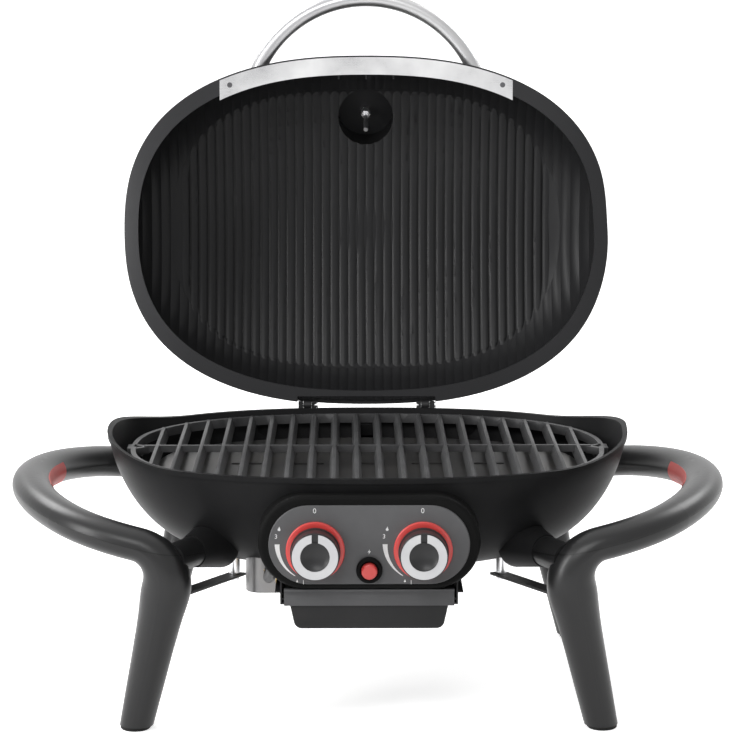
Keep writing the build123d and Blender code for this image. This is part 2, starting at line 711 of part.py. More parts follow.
def make_knob(side):
    """Knob body: skirt, drum, dished face and a groove for the silver ring."""
    x = side * KNOB_X
    back, front = KNOB_BACK_Y, KNOB_FRONT_Y
    skirt = KNOB_R + 1
    profile = Polygon(
        (0, back), (skirt, back), (skirt, back - 3), (KNOB_R, back - 6),
        (KNOB_R, front + 0.8), (KNOB_R - 0.8, front), (0, front), align=None,
    )
    knob = Pos(x, 0, KNOB_Z) * revolve(profile, axis=Axis.Y)
    dish_r = (KNOB_DISH_R**2 + KNOB_DISH_DEEP**2) / (2 * KNOB_DISH_DEEP)
    knob -= Pos(x, front + KNOB_DISH_DEEP - dish_r, KNOB_Z) * Sphere(dish_r)
    knob -= panel_disc(x, KNOB_Z, KNOB_FACE_R + 0.1, front - 1, front + 1.6, KNOB_FACE_BORE - 0.1)
    knob -= panel_disc(x, KNOB_Z, KNOB_R - 3, back - 1.5, back + 1, 8.0)
    return knob - make_valve_stem(side)


def make_knob_face(side):
    """Silver ring on the knob's face, with the pointer gap at the top."""
    x = side * KNOB_X
    front = KNOB_FRONT_Y
    ring = panel_disc(x, KNOB_Z, KNOB_FACE_R, front - 0.3, front + 1.5, KNOB_FACE_BORE)
    low, high = x - POINTER_HALF, x + POINTER_HALF
    return ring - block((low, -240, KNOB_Z + 8), (high, -230, KNOB_Z + 30))


def make_igniter_collar():
    """Round collar of the igniter in the fascia."""
    seat = FASCIA_SEAT_Y - FASCIA_THICK
    bore = BUTTON_R + BUTTON_FIT
    collar = panel_disc(0, BUTTON_Z, COLLAR_R, seat - 5, seat, bore)
    collar = chamfer(collar.edges().group_by(Axis.Y)[0], 1.2)
    return collar + panel_disc(0, BUTTON_Z, COLLAR_NECK_R, seat, -199, bore)


def make_igniter_body():
    """Piezo body behind the fascia."""
    body = panel_disc(0, BUTTON_Z, PIEZO_R, -199, -170, BUTTON_R + BUTTON_FIT)
    return body + panel_disc(0, BUTTON_Z, PIEZO_R, -186, -165)


def make_igniter_button():
    """Red push button with a domed face."""
    button = panel_disc(0, BUTTON_Z, BUTTON_R, -215.5, -193)
    return fillet(button.edges().group_by(Axis.Y)[0], 2.5)


def make_electrode(side):
    """Ceramic spark electrode with its wire tip over the burner."""
    x = side * ELECTRODE_X
    ceramic = rod((x, -178, ELECTRODE_Z), (x, -110, ELECTRODE_Z), CERAMIC_R)
    return ceramic + rod((x, -110, ELECTRODE_Z), (x, -12, ELECTRODE_Z), 1.1)


# Tray


def make_tray():
    """Drip pan with sloping sides, round lower corners and lips that ride in the rails."""
    def pan(inset, low, high, front, back):
        slope = (TRAY_TOP_HALF - TRAY_FOOT_HALF) / (TRAY_TOP_Z - TRAY_BOTTOM_Z)
        foot = TRAY_FOOT_HALF - inset + slope * (low - TRAY_BOTTOM_Z)
        top = TRAY_TOP_HALF - inset + slope * (high - TRAY_TOP_Z)
        outline = Polygon((-foot, low), (foot, low), (top, high), (-top, high), align=None)
        corners = outline.vertices().group_by(Axis.Y)[0]
        outline = fillet(corners, TRAY_CORNER_R - inset)
        plane = Plane(origin=(0, back, 0), x_dir=(1, 0, 0), z_dir=(0, -1, 0))
        return extrude(plane * outline, amount=back - front)

    sheet = TRAY_SHEET
    tray = pan(0, TRAY_BOTTOM_Z, TRAY_TOP_Z, TRAY_FRONT_Y, TRAY_BACK_Y)
    lip = TRAY_TOP_HALF + TRAY_LIP
    tray += block((-lip, TRAY_FRONT_Y, TRAY_TOP_Z - sheet), (lip, TRAY_BACK_Y, TRAY_TOP_Z))
    hollow = pan(
        sheet, TRAY_BOTTOM_Z + sheet, TRAY_TOP_Z + 2, TRAY_FRONT_Y + sheet, TRAY_BACK_Y - sheet
    )
    return tray - hollow


def make_tray_front():
    """Grey plate across the tray's front, its upper edge folded forward as a grip."""
    half, low, high = TRAY_PLATE_HALF, TRAY_PLATE_LOW_Z, TRAY_PLATE_TOP_Z
    plate = block((-half, TRAY_FRONT_Y - 2, low), (half, TRAY_FRONT_Y, high))
    return plate + block((-half, TRAY_FRONT_Y - 6, high - 2), (half, TRAY_FRONT_Y, high))


def make_tray_rail():
    """Right rail: channel for the tray's lip, hung from the bowl and from the housing."""
    profile = Polygon(
        (77.5, 129.5), (86, 129.5), (86, 141.2), (91, 141.2), (91, BOWL_BOTTOM_Z),
        (84.4, BOWL_BOTTOM_Z),
        (84.4, 135.6), (78, 135.6), (78, 134.2), (84.4, 134.2), (84.4, 131), (77.5, 131),
        align=None,
    )
    plane = Plane(origin=(0, 44, 0), x_dir=(1, 0, 0), z_dir=(0, -1, 0))
    rail = extrude(plane * profile, amount=230, dir=(0, -1, 0))
    rail += block((84.4, -186, 131), (86, -166, 165))
    return rail - bowl_body(0) - make_housing_envelope()


def make_housing_envelope():
    """The housing's outside, which the rails and pipe stay out of."""
    return stadium(HOUSING_HALF, HOUSING_R, HOUSING_Z, PANEL_FACE_Y, -120)


# Stays


def stay_ends():
    """Ends of the front right stay: at its post, and past the leg's back."""
    return Vector(*STAY_POST), Vector(*STAY_LEG_END)


def make_stay():
    """Flat strap from the post under the bowl out to the leg."""
    post, leg = stay_ends()
    along = (leg - post).normalized()
    across = along.cross(Vector(0, 0, 1)).normalized()
    plane = Plane(origin=post - along * 9, x_dir=across, z_dir=along)
    strap = extrude(plane * Rectangle(16, 2.5), amount=(leg - post).length + 9)
    strap = fillet(strap.edges().filter_by(lambda e: e.length < 3).group_by(Axis.Y)[-1], 5)
    strap -= make_leg()
    strap = max(strap.solids(), key=lambda s: s.volume)
    return strap - rod(post - Vector(0, 0, 5), post + Vector(0, 0, 5), STAY_SCREW_R + PIN_FIT)


def make_stay_post():
    """Spacer between the stay and the bowl's underside."""
    post, _ = stay_ends()
    spacer = rod(post, post + Vector(0, 0, 30), 5.5) - bowl_body(0)
    spacer = min(spacer.solids(), key=lambda s: s.center().Z)
    return spacer - make_stay() - rod(post, post + Vector(0, 0, 12), STAY_SCREW_R + PIN_FIT)


def make_stay_screw():
    """Screw from below through the stay into its post."""
    post, _ = stay_ends()
    head = rod(post - Vector(0, 0, 5), post - Vector(0, 0, 1.6), 4.6)
    shank = rod(post - Vector(0, 0, 2), post + Vector(0, 0, 11), STAY_SCREW_R)
    return head + shank - make_stay()


# Hinge


def make_hinge_ears():
    """Two brackets on the bowl's back, each with a pair of ears for the pin."""
    pieces = []
    for side in (-1, 1):
        ears = []
        for offset in (-EAR_OFFSET, EAR_OFFSET):
            low = side * HINGE_X + offset - EAR_THICK / 2
            high = low + EAR_THICK
            back_y = HINGE_Y + HINGE_KNUCKLE_R
            ear = rod((low, HINGE_Y, HINGE_Z), (high, HINGE_Y, HINGE_Z), HINGE_KNUCKLE_R)
            ear += block((low, 176, 228), (high, back_y, HINGE_Z - 5))
            ear += block((low, 186, HINGE_Z - 6), (high, back_y, HINGE_Z))
            ears.append(ear)
        x = side * HINGE_X
        plate = block((x - 10, 176, 226), (x + 10, 190.5, 246))
        bracket = ears[0] + ears[1] + plate
        bracket -= bowl_body(-RIM_BEAD_PROUD - 0.05) & rim_block(-RIM_BEAD_DEPTH - 0.1, 330)
        bracket -= bowl_body(0)
        bracket -= rod((x - 20, HINGE_Y, HINGE_Z), (x + 20, HINGE_Y, HINGE_Z), HINGE_PIN_R)
        pieces.append(max(bracket.solids(), key=lambda s: s.volume))
    return Compound(children=pieces)


def make_hinge_pins():
    """A headed pin for each hinge."""
    pieces = []
    for side in (-1, 1):
        x = side * HINGE_X
        pin = rod((x - 10, HINGE_Y, HINGE_Z), (x + 11.5, HINGE_Y, HINGE_Z), HINGE_PIN_R)
        pieces.append(pin + rod((x + 10, HINGE_Y, HINGE_Z), (x + 11.5, HINGE_Y, HINGE_Z), 3.4))
    return Compound(children=pieces)


def make_hinge_leaves(lid_outside):
    """Lid halves of the hinges: a knuckle and a leaf up the lid's back."""
    pieces = []
    for side in (-1, 1):
        x = side * HINGE_X
        half = HINGE_KNUCKLE_WIDE / 2
        low, high = x - half, x + half
        leaf = rod((low, HINGE_Y, HINGE_Z), (high, HINGE_Y, HINGE_Z), HINGE_KNUCKLE_R)
        leaf += block((low, HINGE_Y - 3, HINGE_Z), (high, HINGE_Y + 4, HINGE_Z + 12))
        leaf += block((low, 180, HINGE_Z + 11), (high, HINGE_Y + 4, HINGE_Z + 46))
        leaf -= lid_outside & rim_block(13.0, 420)
        leaf -= rod((low - 1, HINGE_Y, HINGE_Z), (high + 1, HINGE_Y, HINGE_Z), HINGE_PIN_R + PIN_FIT)
        pieces.append(max(leaf.solids(), key=lambda s: s.center().Y))
    return Compound(children=pieces)


# Lid


def fluted_vault():
    """All that lies below the fluted ceiling, a body turned about an axis across the grill."""
    half_span = FLUTE_PITCH * FLUTE_COUNT / 2
    crown = RIM_Z + LID_HEIGHT - LID_WALL

    def ceiling(x):
        return crown - (VAULT_ACROSS_R - sqrt(VAULT_ACROSS_R**2 - x**2))

    edges = []
    for i in range(FLUTE_COUNT):
        x0 = -half_span + i * FLUTE_PITCH
        x1 = x0 + FLUTE_PITCH
        middle = (x0 + x1) / 2
        dip = ceiling(middle) - FLUTE_HEIGHT
        edges.append(
            Edge.make_three_point_arc(
                (x0, 0, ceiling(x0)), (middle, 0, dip), (x1, 0, ceiling(x1))
            )
        )
    side_z = ceiling(half_span)
    reach = 290.0
    floor_z = 100.0
    corners = [
        (half_span, 0, side_z), (reach, 0, side_z), (reach, 0, floor_z),
        (-reach, 0, floor_z), (-reach, 0, side_z), (-half_span, 0, side_z),
    ]
    edges += [Edge.make_line(a, b) for a, b in zip(corners, corners[1:])]
    axis = Axis((0, 0, crown - VAULT_ALONG_R), (1, 0, 0))
    section = Face(Wire(edges)).rotate(axis, -VAULT_TURN / 2)
    return revolve(section, axis=axis, revolution_arc=VAULT_TURN)


def lid_fin(x):
    """A thin upright fin from the band up the inside of the lid's front wall."""
    front_y = -oval_y(LID_HALF_X, LID_HALF_Y, x) + LID_WALL - 1
    low = RIM_Z + RIM_GAP + LID_BAND_THICK - 1
    back_y = -LID_HALF_Y + LID_BAND + FIN_DEEP
    return block((x - FIN_THICK / 2, front_y, low), (x + FIN_THICK / 2, back_y, low + FIN_DEEP))


def make_lid():
    """Cast lid, closed: thin shell, flat rim band, fluted ceiling, thermometer turret."""
    outside = lid_body(0)
    turret = disc(gauge_plane(-34), TURRET_R, 34 + GAUGE_FLOOR_THICK)
    band_top = RIM_GAP + LID_BAND_THICK
    cavity = lid_body(LID_WALL) & rim_block(band_top, 420) & fluted_vault()
    mouth = oval_slab(LID_HALF_X - LID_BAND, LID_HALF_Y - LID_BAND, 230, 290)
    lid = outside + turret - cavity - mouth
    for x in FIN_X:
        lid += lid_fin(x)
    lid -= rim_block(RIM_GAP, 200)
    lid -= disc(gauge_plane(-40), POCKET_R, 40)
    lid -= disc(gauge_plane(-1), PROBE_R + 0.2, 10)
    notch = HINGE_NOTCH_HALF
    lid -= block((-notch, HINGE_Y - 10, 240), (notch, HINGE_Y + 10, HINGE_Z + 10.5))
    lid -= trim_slab(TRIM_EDGE - 0.1, RIM_Z, TRIM_HALF + 0.1, TRIM_THICK + RIM_GAP)
    for x in (-TRIM_SCREW_X, TRIM_SCREW_X):
        y = trim_screw_y(x)
        lid -= rod((x, y, RIM_Z), (x, y, RIM_Z + 20), TRIM_SCREW_R + PIN_FIT)
    hole_r = HANDLE_SCREW_R + PIN_FIT
    lid -= handle_screw(1, hole_r) + handle_screw(-1, hole_r)
    return lid, outside


def trim_screw_y(x):
    """Where a trim screw sits across the strip."""
    return -oval_y(LID_HALF_X, LID_HALF_Y, x) + TRIM_SCREW_INSET


def trim_slab(edge, low, half, thick):
    """A band along the front of the lid's rim, from its edge inwards."""
    band = oval_slab(LID_HALF_X - edge, LID_HALF_Y - edge, low, low + thick)
    inner = TRIM_WIDE + TRIM_EDGE
    band -= oval_slab(LID_HALF_X - inner, LID_HALF_Y - inner, low - 1, low + thick + 1)
    return band & block((-half, -220, low - 1), (half, -90, low + thick + 1))


def make_trim():
    """Brushed strip let into the front of the rim band, with its two screw holes."""
    strip = trim_slab(TRIM_EDGE, RIM_Z + RIM_GAP, TRIM_HALF, TRIM_THICK - 0.05)
    for x in (-TRIM_SCREW_X, TRIM_SCREW_X):
        y = trim_screw_y(x)
        strip -= rod((x, y, RIM_Z), (x, y, RIM_Z + 5), TRIM_SCREW_R + PIN_FIT)
    return strip


def make_trim_screws():
    """Two countersunk screws of the trim strip."""
    pieces = []
    for x in (-TRIM_SCREW_X, TRIM_SCREW_X):
        y = trim_screw_y(x)
        pieces.append(rod((x, y, RIM_Z + RIM_GAP), (x, y, RIM_Z + 9), TRIM_SCREW_R))
    return Compound(children=pieces)


def make_handle(outside):
    """Round tube bow on the front of the closed lid."""
    centre_y = -(LID_HALF_Y + BOW_REACH) + BOW_R
    bow = CenterArc((0, centre_y), BOW_R, -90 - BOW_HALF_ANGLE, 2 * BOW_HALF_ANGLE)
    path = Plane.XY.offset(BOW_Z).from_local_coords(bow.edge())
    tube = sweep(Plane(origin=path @ 0, z_dir=path % 0) * Circle(BOW_TUBE_R), path=path)
    tube -= outside
    tube = min(tube.solids(), key=lambda s: s.center().Y)
    hole_r = HANDLE_SCREW_R + PIN_FIT
    return tube - handle_screw(1, hole_r) - handle_screw(-1, hole_r)


def handle_end(side):
    """Where a bow end meets the lid's wall, and the bow's direction there."""
    centre_y = -(LID_HALF_Y + BOW_REACH) + BOW_R
    end_y = centre_y - sqrt(BOW_R**2 - BOW_END_X**2)
    inward = Vector(side * (centre_y - end_y), BOW_END_X, 0).normalized()
    return Vector(side * BOW_END_X, end_y, BOW_Z), inward


def handle_screw(side, radius):
    """Screw shank from inside the lid into the end of the bow."""
    end, inward = handle_end(side)
    return rod(end - inward * 14, end + inward * 7, radius)


def make_handle_screws():
    """Screws that hold the bow, with heads inside the lid."""
    pieces = []
    for side in (-1, 1):
        end, inward = handle_end(side)
        head = rod(end + inward * 2, end + inward * 9, 3.8)
        head -= lid_body(0) - lid_body(LID_WALL)
        head = max(head.solids(), key=lambda s: s.center().Y)
        pieces.append(handle_screw(side, HANDLE_SCREW_R) + head)
    return Compound(children=[piece.solids()[0] for piece in pieces])


def make_gauge_parts():
    """Thermometer: case, bezel, dial, needle, lens, probe and its nuts."""
    seat = GAUGE_FLOOR_THICK
    case = disc(gauge_plane(seat), GAUGE_R, 11) - disc(gauge_plane(seat + 1.5), 29.2, 12)
    case -= disc(gauge_plane(seat - 1), PROBE_R + 0.1, 5)
    bezel = disc(gauge_plane(seat + 8), BEZEL_R, 5, GAUGE_R + PIN_FIT)
    bezel += disc(gauge_plane(seat + 11), BEZEL_R, 2, 28)
    dial = disc(gauge_plane(seat + 5.0), 29, 0.8, 2.7)
    lens = disc(gauge_plane(seat + 9.4), 29, 1.5)
    needle_plane = gauge_plane(seat + 6.6)
    pointer = Polygon((-1.6, -7), (1.6, -7), (0.5, 24), (-0.5, 24), align=None)
    hand = Rot(0, 0, NEEDLE_COLD_ANGLE) * (pointer + Circle(4))
    needle = extrude(needle_plane * hand, amount=0.8)
    probe = disc(gauge_plane(-PROBE_LONG), PROBE_R, PROBE_LONG + seat + 6.2)
    nut_low = extrude(gauge_plane(-4.2) * RegularPolygon(PROBE_NUT_R, 6), amount=4)
    nut_high = extrude(gauge_plane(-9.4) * RegularPolygon(PROBE_NUT_R, 6), amount=4)
    nuts = (nut_low + nut_high) - disc(gauge_plane(-20), PROBE_R, 30)
    return case, bezel, dial, lens, needle, probe, nuts


def write_bowl_group():
    save("bowl", make_bowl())
    save("frame_bolts", make_frame_bolts())
    save("heat_plate", make_heat_plate())
    save("grate", make_grate())
    for name, piece in zip(("burner_right", "burner_left"), left_and_right(make_burner())):
        save(name, piece)
    electrodes = left_and_right(make_electrode(1))
    save("spark_electrodes", Compound(children=[e.solids()[0] for e in electrodes]))


def write_panel_group():
    save("control_housing", make_housing())
    save("fascia_plate", make_fascia())
    save("igniter_collar", make_igniter_collar())
    save("igniter_body", make_igniter_body())
    save("igniter_button", make_igniter_button())
    for name, side in (("left", -1), ("right", 1)):
        save(f"knob_ring_{name}", make_knob_ring(side))
        save(f"knob_{name}", make_knob(side))
        save(f"knob_face_{name}", make_knob_face(side))
        save(f"valve_body_{name}", make_valve_body(side))
        save(f"valve_plug_{name}", make_valve_plug(side))
        save(f"valve_stem_{name}", make_valve_stem(side))
    save("gas_manifold", make_manifold())
    save("gas_inlet", make_gas_inlet())
    save("inlet_bracket", make_inlet_bracket())


def write_tray_group():
    save("drip_tray", make_tray())
    save("tray_front", make_tray_front())
    for name, piece in zip(("tray_rail_right", "tray_rail_left"), left_and_right(make_tray_rail())):
        save(name, piece)


def write_frame_group():
    names = ("side_frame_right", "side_frame_left")
    for name, piece in zip(names, left_and_right(make_side_frame())):
        save(name, piece)
    names = ("grip_insert_right", "grip_insert_left")
    for name, piece in zip(names, left_and_right(make_grip_insert())):
        save(name, piece)
    save("feet", all_four(make_foot()))
    save("leg_stays", all_four(make_stay()))
    save("stay_posts", all_four(make_stay_post()))
    save("stay_screws", all_four(make_stay_screw()))
    save("hinge_ears", make_hinge_ears())
    save("hinge_pins", make_hinge_pins())


def write_lid_group():
    lid, outside = make_lid()
    save("lid", open_lid(lid))
    save("lid_trim", open_lid(make_trim()))
    save("trim_screws", open_lid(make_trim_screws()))
    save("lid_handle", open_lid(make_handle(outside)))
    save("handle_screws", open_lid(make_handle_screws()))
    save("lid_hinge_leaves", open_lid(make_hinge_leaves(outside)))
    names = ("case", "bezel", "dial", "lens", "needle", "probe", "nuts")
    for name, piece in zip(names, make_gauge_parts()):
        save(f"thermometer_{name}", open_lid(piece))


os.makedirs("parts", exist_ok=True)
write_bowl_group()
write_panel_group()
write_tray_group()
write_frame_group()
write_lid_group()
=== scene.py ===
import json
from math import cos, hypot, pi, radians, sin

import bmesh
import bpy
from bpy.props import FloatProperty, FloatVectorProperty, PointerProperty
from mathutils import Matrix, Vector


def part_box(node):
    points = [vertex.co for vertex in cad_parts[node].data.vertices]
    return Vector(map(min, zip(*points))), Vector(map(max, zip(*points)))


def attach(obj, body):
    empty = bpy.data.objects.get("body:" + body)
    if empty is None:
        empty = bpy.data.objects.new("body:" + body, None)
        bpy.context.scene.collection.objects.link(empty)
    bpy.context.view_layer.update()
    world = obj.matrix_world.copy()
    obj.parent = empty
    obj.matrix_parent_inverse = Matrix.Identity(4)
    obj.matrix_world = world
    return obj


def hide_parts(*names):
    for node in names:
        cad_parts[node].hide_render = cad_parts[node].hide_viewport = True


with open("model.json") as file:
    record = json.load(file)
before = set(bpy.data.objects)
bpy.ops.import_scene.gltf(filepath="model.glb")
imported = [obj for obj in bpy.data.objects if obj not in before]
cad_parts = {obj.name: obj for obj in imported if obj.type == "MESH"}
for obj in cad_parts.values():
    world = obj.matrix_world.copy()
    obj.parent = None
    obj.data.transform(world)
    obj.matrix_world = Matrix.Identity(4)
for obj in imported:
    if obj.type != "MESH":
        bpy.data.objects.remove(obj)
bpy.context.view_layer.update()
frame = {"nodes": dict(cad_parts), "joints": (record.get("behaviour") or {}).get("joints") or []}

bl_info = {
    "name": "Tabletop gas grill",
    "version": (1, 0, 0),
    "blender": (4, 5, 0),
    "location": "View3D > Sidebar > Grill",
    "description": "Finishes and detail pieces of a two-burner tabletop gas grill",
    "category": "Object",
}

# Materials that came with the frame. The script's own finishes never share their names
FRAME_FINISHES = set(bpy.data.materials.keys())


def centre(name):
    """Middle of a CAD node's box at rest."""
    low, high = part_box(name)
    return [(a + b) / 2 for a, b in zip(low, high)]


# Places read from the frame, in metres
MIDDLE_Y = centre("bowl")[1]
KNOB_X, _, KNOB_Z = centre("knob_right")
FASCIA_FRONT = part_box("fascia_plate")[0].y
BUTTON_Z = centre("igniter_button")[2]
MM = 0.001

# Edges that turn by more than this stay sharp
SHARP_ANGLE = radians(35)

# The lid's hinge, and the turn that takes the closed lid to where it stands at rest
HINGE = next(joint for joint in frame["joints"] if joint["name"] == "lid_hinge")
LID_ANGLE = radians(HINGE["range_deg"][1])
CLOSED_HINGE = Vector((0, 0.1915, 0.2565))
OPEN_LID = (
    Matrix.Translation(Vector(HINGE["pos_m"]))
    @ Matrix.Rotation(-LID_ANGLE, 4, "X")
    @ Matrix.Translation(-CLOSED_HINGE)
)

# Plan of the closed lid, a rounded oblong: (x / half x) ** power + (y / half y) ** power = 1
LID_HALF_X = 0.267
LID_HALF_Y = 0.1915
PLAN_POWER = 2.42
FLUTE_PITCH = 0.010
BAND_TOP = 0.285

# The dial's middle and axis on the closed lid
DIAL_LEAN = radians(30)
DIAL_OUT = Vector((0, -sin(DIAL_LEAN), cos(DIAL_LEAN)))
DIAL_PLACE = Vector((0, -0.134, 0.362)) + DIAL_OUT * 0.0089

# Trim screws on the closed lid: distance from the middle, depth behind the rim's edge, height
TRIM_SCREW_X = 0.149
TRIM_SCREW_BACK = 0.011
TRIM_SCREW_Z = 0.2544

# The loops rise outwards from this point, by this climb over this reach
LOOP_START_X = 0.2038
LOOP_START_Z = 0.1849
LOOP_REACH = 140.5
LOOP_CLIMB = 29.2
LOOP_LOWEST_Z = 0.172


# Settings


class GrillColours(bpy.types.PropertyGroup):
    """Base colours of the finishes."""

    casting: FloatVectorProperty(
        name="Casting", description="Enamel of bowl and lid", subtype="COLOR", size=3,
        default=(0.013, 0.013, 0.0135), min=0, max=1,
    )
    # Painted highlight: the inside is the same black enamel as the casting, made lighter to stand
    # for the light its inner walls catch
    lid_inside_painted_highlight: FloatVectorProperty(
        name="Lid inside", description="Enamel inside the lid", subtype="COLOR", size=3,
        default=(0.02, 0.02, 0.021), min=0, max=1,
    )
    rim_band: FloatVectorProperty(
        name="Rim band", description="Flat band round the lid's mouth", subtype="COLOR", size=3,
        default=(0.04, 0.04, 0.042), min=0, max=1,
    )
    moulding: FloatVectorProperty(
        name="Side frame", description="Moulded side frames", subtype="COLOR", size=3,
        default=(0.013, 0.013, 0.0135), min=0, max=1,
    )
    fascia: FloatVectorProperty(
        name="Fascia", description="Paint of the control panel", subtype="COLOR", size=3,
        default=(0.1, 0.1, 0.103), min=0, max=1,
    )
    accent: FloatVectorProperty(
        name="Accent", description="Red of rings, button and needle", subtype="COLOR",
        size=3, default=(0.8, 0.06, 0.055), min=0, max=1,
    )
    silver: FloatVectorProperty(
        name="Silver", description="Trim strip", subtype="COLOR",
        size=3, default=(0.5, 0.5, 0.51), min=0, max=1,
    )


class GrillStage(bpy.types.PropertyGroup):
    """Camera and lamps."""

    camera_back: FloatProperty(
        name="Camera distance", description="From the bowl's middle", default=2.6,
        subtype="DISTANCE", unit="LENGTH",
    )
    camera_height: FloatProperty(
        name="Camera height", description="Above the floor", default=0.766,
        subtype="DISTANCE", unit="LENGTH",
    )
    camera_side: FloatProperty(
        name="Camera offset", description="To the right of the middle", default=-0.0192,
        subtype="DISTANCE", unit="LENGTH",
    )
    camera_pitch: FloatProperty(
        name="Camera pitch", description="Downwards", default=radians(9.52),
        subtype="ANGLE", unit="ROTATION",
    )
    camera_yaw: FloatProperty(
        name="Camera yaw", description="To the right", default=0.0075,
        subtype="ANGLE", unit="ROTATION",
    )
    focal_pixels: FloatProperty(
        name="Focal length", description="In widths of one picture element of the photograph",
        default=2571.4,
    )
    lamp_level: FloatProperty(
        name="Lamp level", description="Factor on all lamps", default=1.0, min=0, max=4,
    )


# Shared shader groups


def new_group(name, inputs, outputs):
    """An empty shader group with typed sockets. Inputs are (kind, name, default)."""
    tree = bpy.data.node_groups.new(name, "ShaderNodeTree")
    for kind, label, default in inputs:
        socket = tree.interface.new_socket(label, in_out="INPUT", socket_type=kind)
        socket.default_value = default
    for kind, label in outputs:
        tree.interface.new_socket(label, in_out="OUTPUT", socket_type=kind)
    start = tree.nodes.new("NodeGroupInput")
    end = tree.nodes.new("NodeGroupOutput")
    return tree, start, end


def add_node(tree, kind, **values):
    """A node with its settings and its unlinked inputs."""
    node = tree.nodes.new(kind)
    for key, value in values.items():
        if hasattr(node, key):
            setattr(node, key, value)
        else:
            node.inputs[key.replace("_", " ").title()].default_value = value
    return node


def math_node(tree, operation, first, second=None, third=None):
    """A math node whose inputs are sockets or numbers. Returns its output."""
    node = tree.nodes.new("ShaderNodeMath")
    node.operation = operation
    for i, value in enumerate((first, second, third)):
        if value is None:
            continue
        if isinstance(value, (int, float)):
            node.inputs[i].default_value = value
        else:
            tree.links.new(value, node.inputs[i])
    return node.outputs[0]


def mix_colour(tree, factor, first, second):
    """A colour mix of two sockets or colours. Returns its output."""
    node = tree.nodes.new("ShaderNodeMix")
    node.data_type = "RGBA"
    for index, value in ((0, factor), (6, first), (7, second)):
        socket = node.inputs[index]
        if hasattr(value, "links"):
            tree.links.new(value, socket)
        else:
            socket.default_value = value
    return node.outputs[2]


def stretched_coordinates(tree, start, label):
    """Object coordinates times the group's stretch input, and the same unstretched."""
    coordinates = tree.nodes.new("ShaderNodeTexCoord")
    stretch = tree.nodes.new("ShaderNodeVectorMath")
    stretch.operation = "MULTIPLY"
    tree.links.new(coordinates.outputs["Object"], stretch.inputs[0])
    tree.links.new(start.outputs[label], stretch.inputs[1])
    return stretch.outputs[0], coordinates.outputs["Object"]


def skin_group():
    """Grain, cloudy tone and uneven sheen of a painted, cast, moulded or brushed surface."""
    found = bpy.data.node_groups.get("Surface skin")
    if found:
        return found
    tree, start, end = new_group(
        "Surface skin",
        (
            ("NodeSocketColor", "Colour", (0.1, 0.1, 0.1, 1)),
            ("NodeSocketColor", "Second Colour", (0.1, 0.1, 0.1, 1)),
            ("NodeSocketFloat", "Roughness", 0.4),
            ("NodeSocketFloat", "Roughness Spread", 0.08),
            ("NodeSocketFloat", "Cloud Size", 14.0),
            ("NodeSocketFloat", "Grain Size", 900.0),
            ("NodeSocketFloat", "Grain Depth", 0.1),
            ("NodeSocketVector", "Stretch", (1, 1, 1)),
            ("NodeSocketFloat", "Speck Amount", 0.0),
        ),
        (
            ("NodeSocketColor", "Colour"),
            ("NodeSocketFloat", "Roughness"),
            ("NodeSocketVector", "Normal"),
        ),
    )
    link = tree.links.new
    stretched, plain = stretched_coordinates(tree, start, "Stretch")
    grain = add_node(tree, "ShaderNodeTexNoise", detail=3.0, roughness=0.6)
    link(stretched, grain.inputs["Vector"])
    link(start.outputs["Grain Size"], grain.inputs["Scale"])
    cloud = add_node(tree, "ShaderNodeTexNoise", detail=4.0, roughness=0.55)
    link(plain, cloud.inputs["Vector"])
    link(start.outputs["Cloud Size"], cloud.inputs["Scale"])
    tone = math_node(tree, "MULTIPLY_ADD", cloud.outputs["Fac"], 2.4, -0.7)
    tone = math_node(tree, "MINIMUM", math_node(tree, "MAXIMUM", tone, 0.0), 1.0)
    speck = math_node(tree, "GREATER_THAN", grain.outputs["Fac"], 0.64)
    speck = math_node(tree, "MULTIPLY", speck, start.outputs["Speck Amount"])
    mixed = mix_colour(tree, tone, start.outputs["Colour"], start.outputs["Second Colour"])
    link(mix_colour(tree, speck, mixed, start.outputs["Second Colour"]), end.inputs["Colour"])
    spread = math_node(tree, "SUBTRACT", cloud.outputs["Fac"], 0.5)
    fine = math_node(tree, "SUBTRACT", grain.outputs["Fac"], 0.5)
    both = math_node(tree, "MULTIPLY_ADD", fine, 0.7, spread)
    rough = math_node(
        tree, "MULTIPLY_ADD", both, start.outputs["Roughness Spread"], start.outputs["Roughness"]
    )
    rough = math_node(tree, "MAXIMUM", rough, 0.05)
    link(rough, end.inputs["Roughness"])
    bump = add_node(tree, "ShaderNodeBump", distance=0.0002)
    link(start.outputs["Grain Depth"], bump.inputs["Strength"])
    link(grain.outputs["Fac"], bump.inputs["Height"])
    link(bump.outputs["Normal"], end.inputs["Normal"])
    return tree


def grouped(name, group, values, specular):
    """A material: one shader group with its values into one Principled shader."""
    if name in FRAME_FINISHES:
        raise ValueError(f"{name} is the name of a material of the frame")
    found = bpy.data.materials.get(name)
    if found:
        return found
    material = bpy.data.materials.new(name)
    material.use_nodes = True
    tree = material.node_tree
    shader = tree.nodes["Principled BSDF"]
    skin = tree.nodes.new("ShaderNodeGroup")
    skin.node_tree = group
    for label, value in values.items():
        skin.inputs[label].default_value = value
    tree.links.new(skin.outputs["Colour"], shader.inputs["Base Color"])
    tree.links.new(skin.outputs["Roughness"], shader.inputs["Roughness"])
    tree.links.new(skin.outputs["Normal"], shader.inputs["Normal"])
    shader.inputs["Specular IOR Level"].default_value = specular
    return material


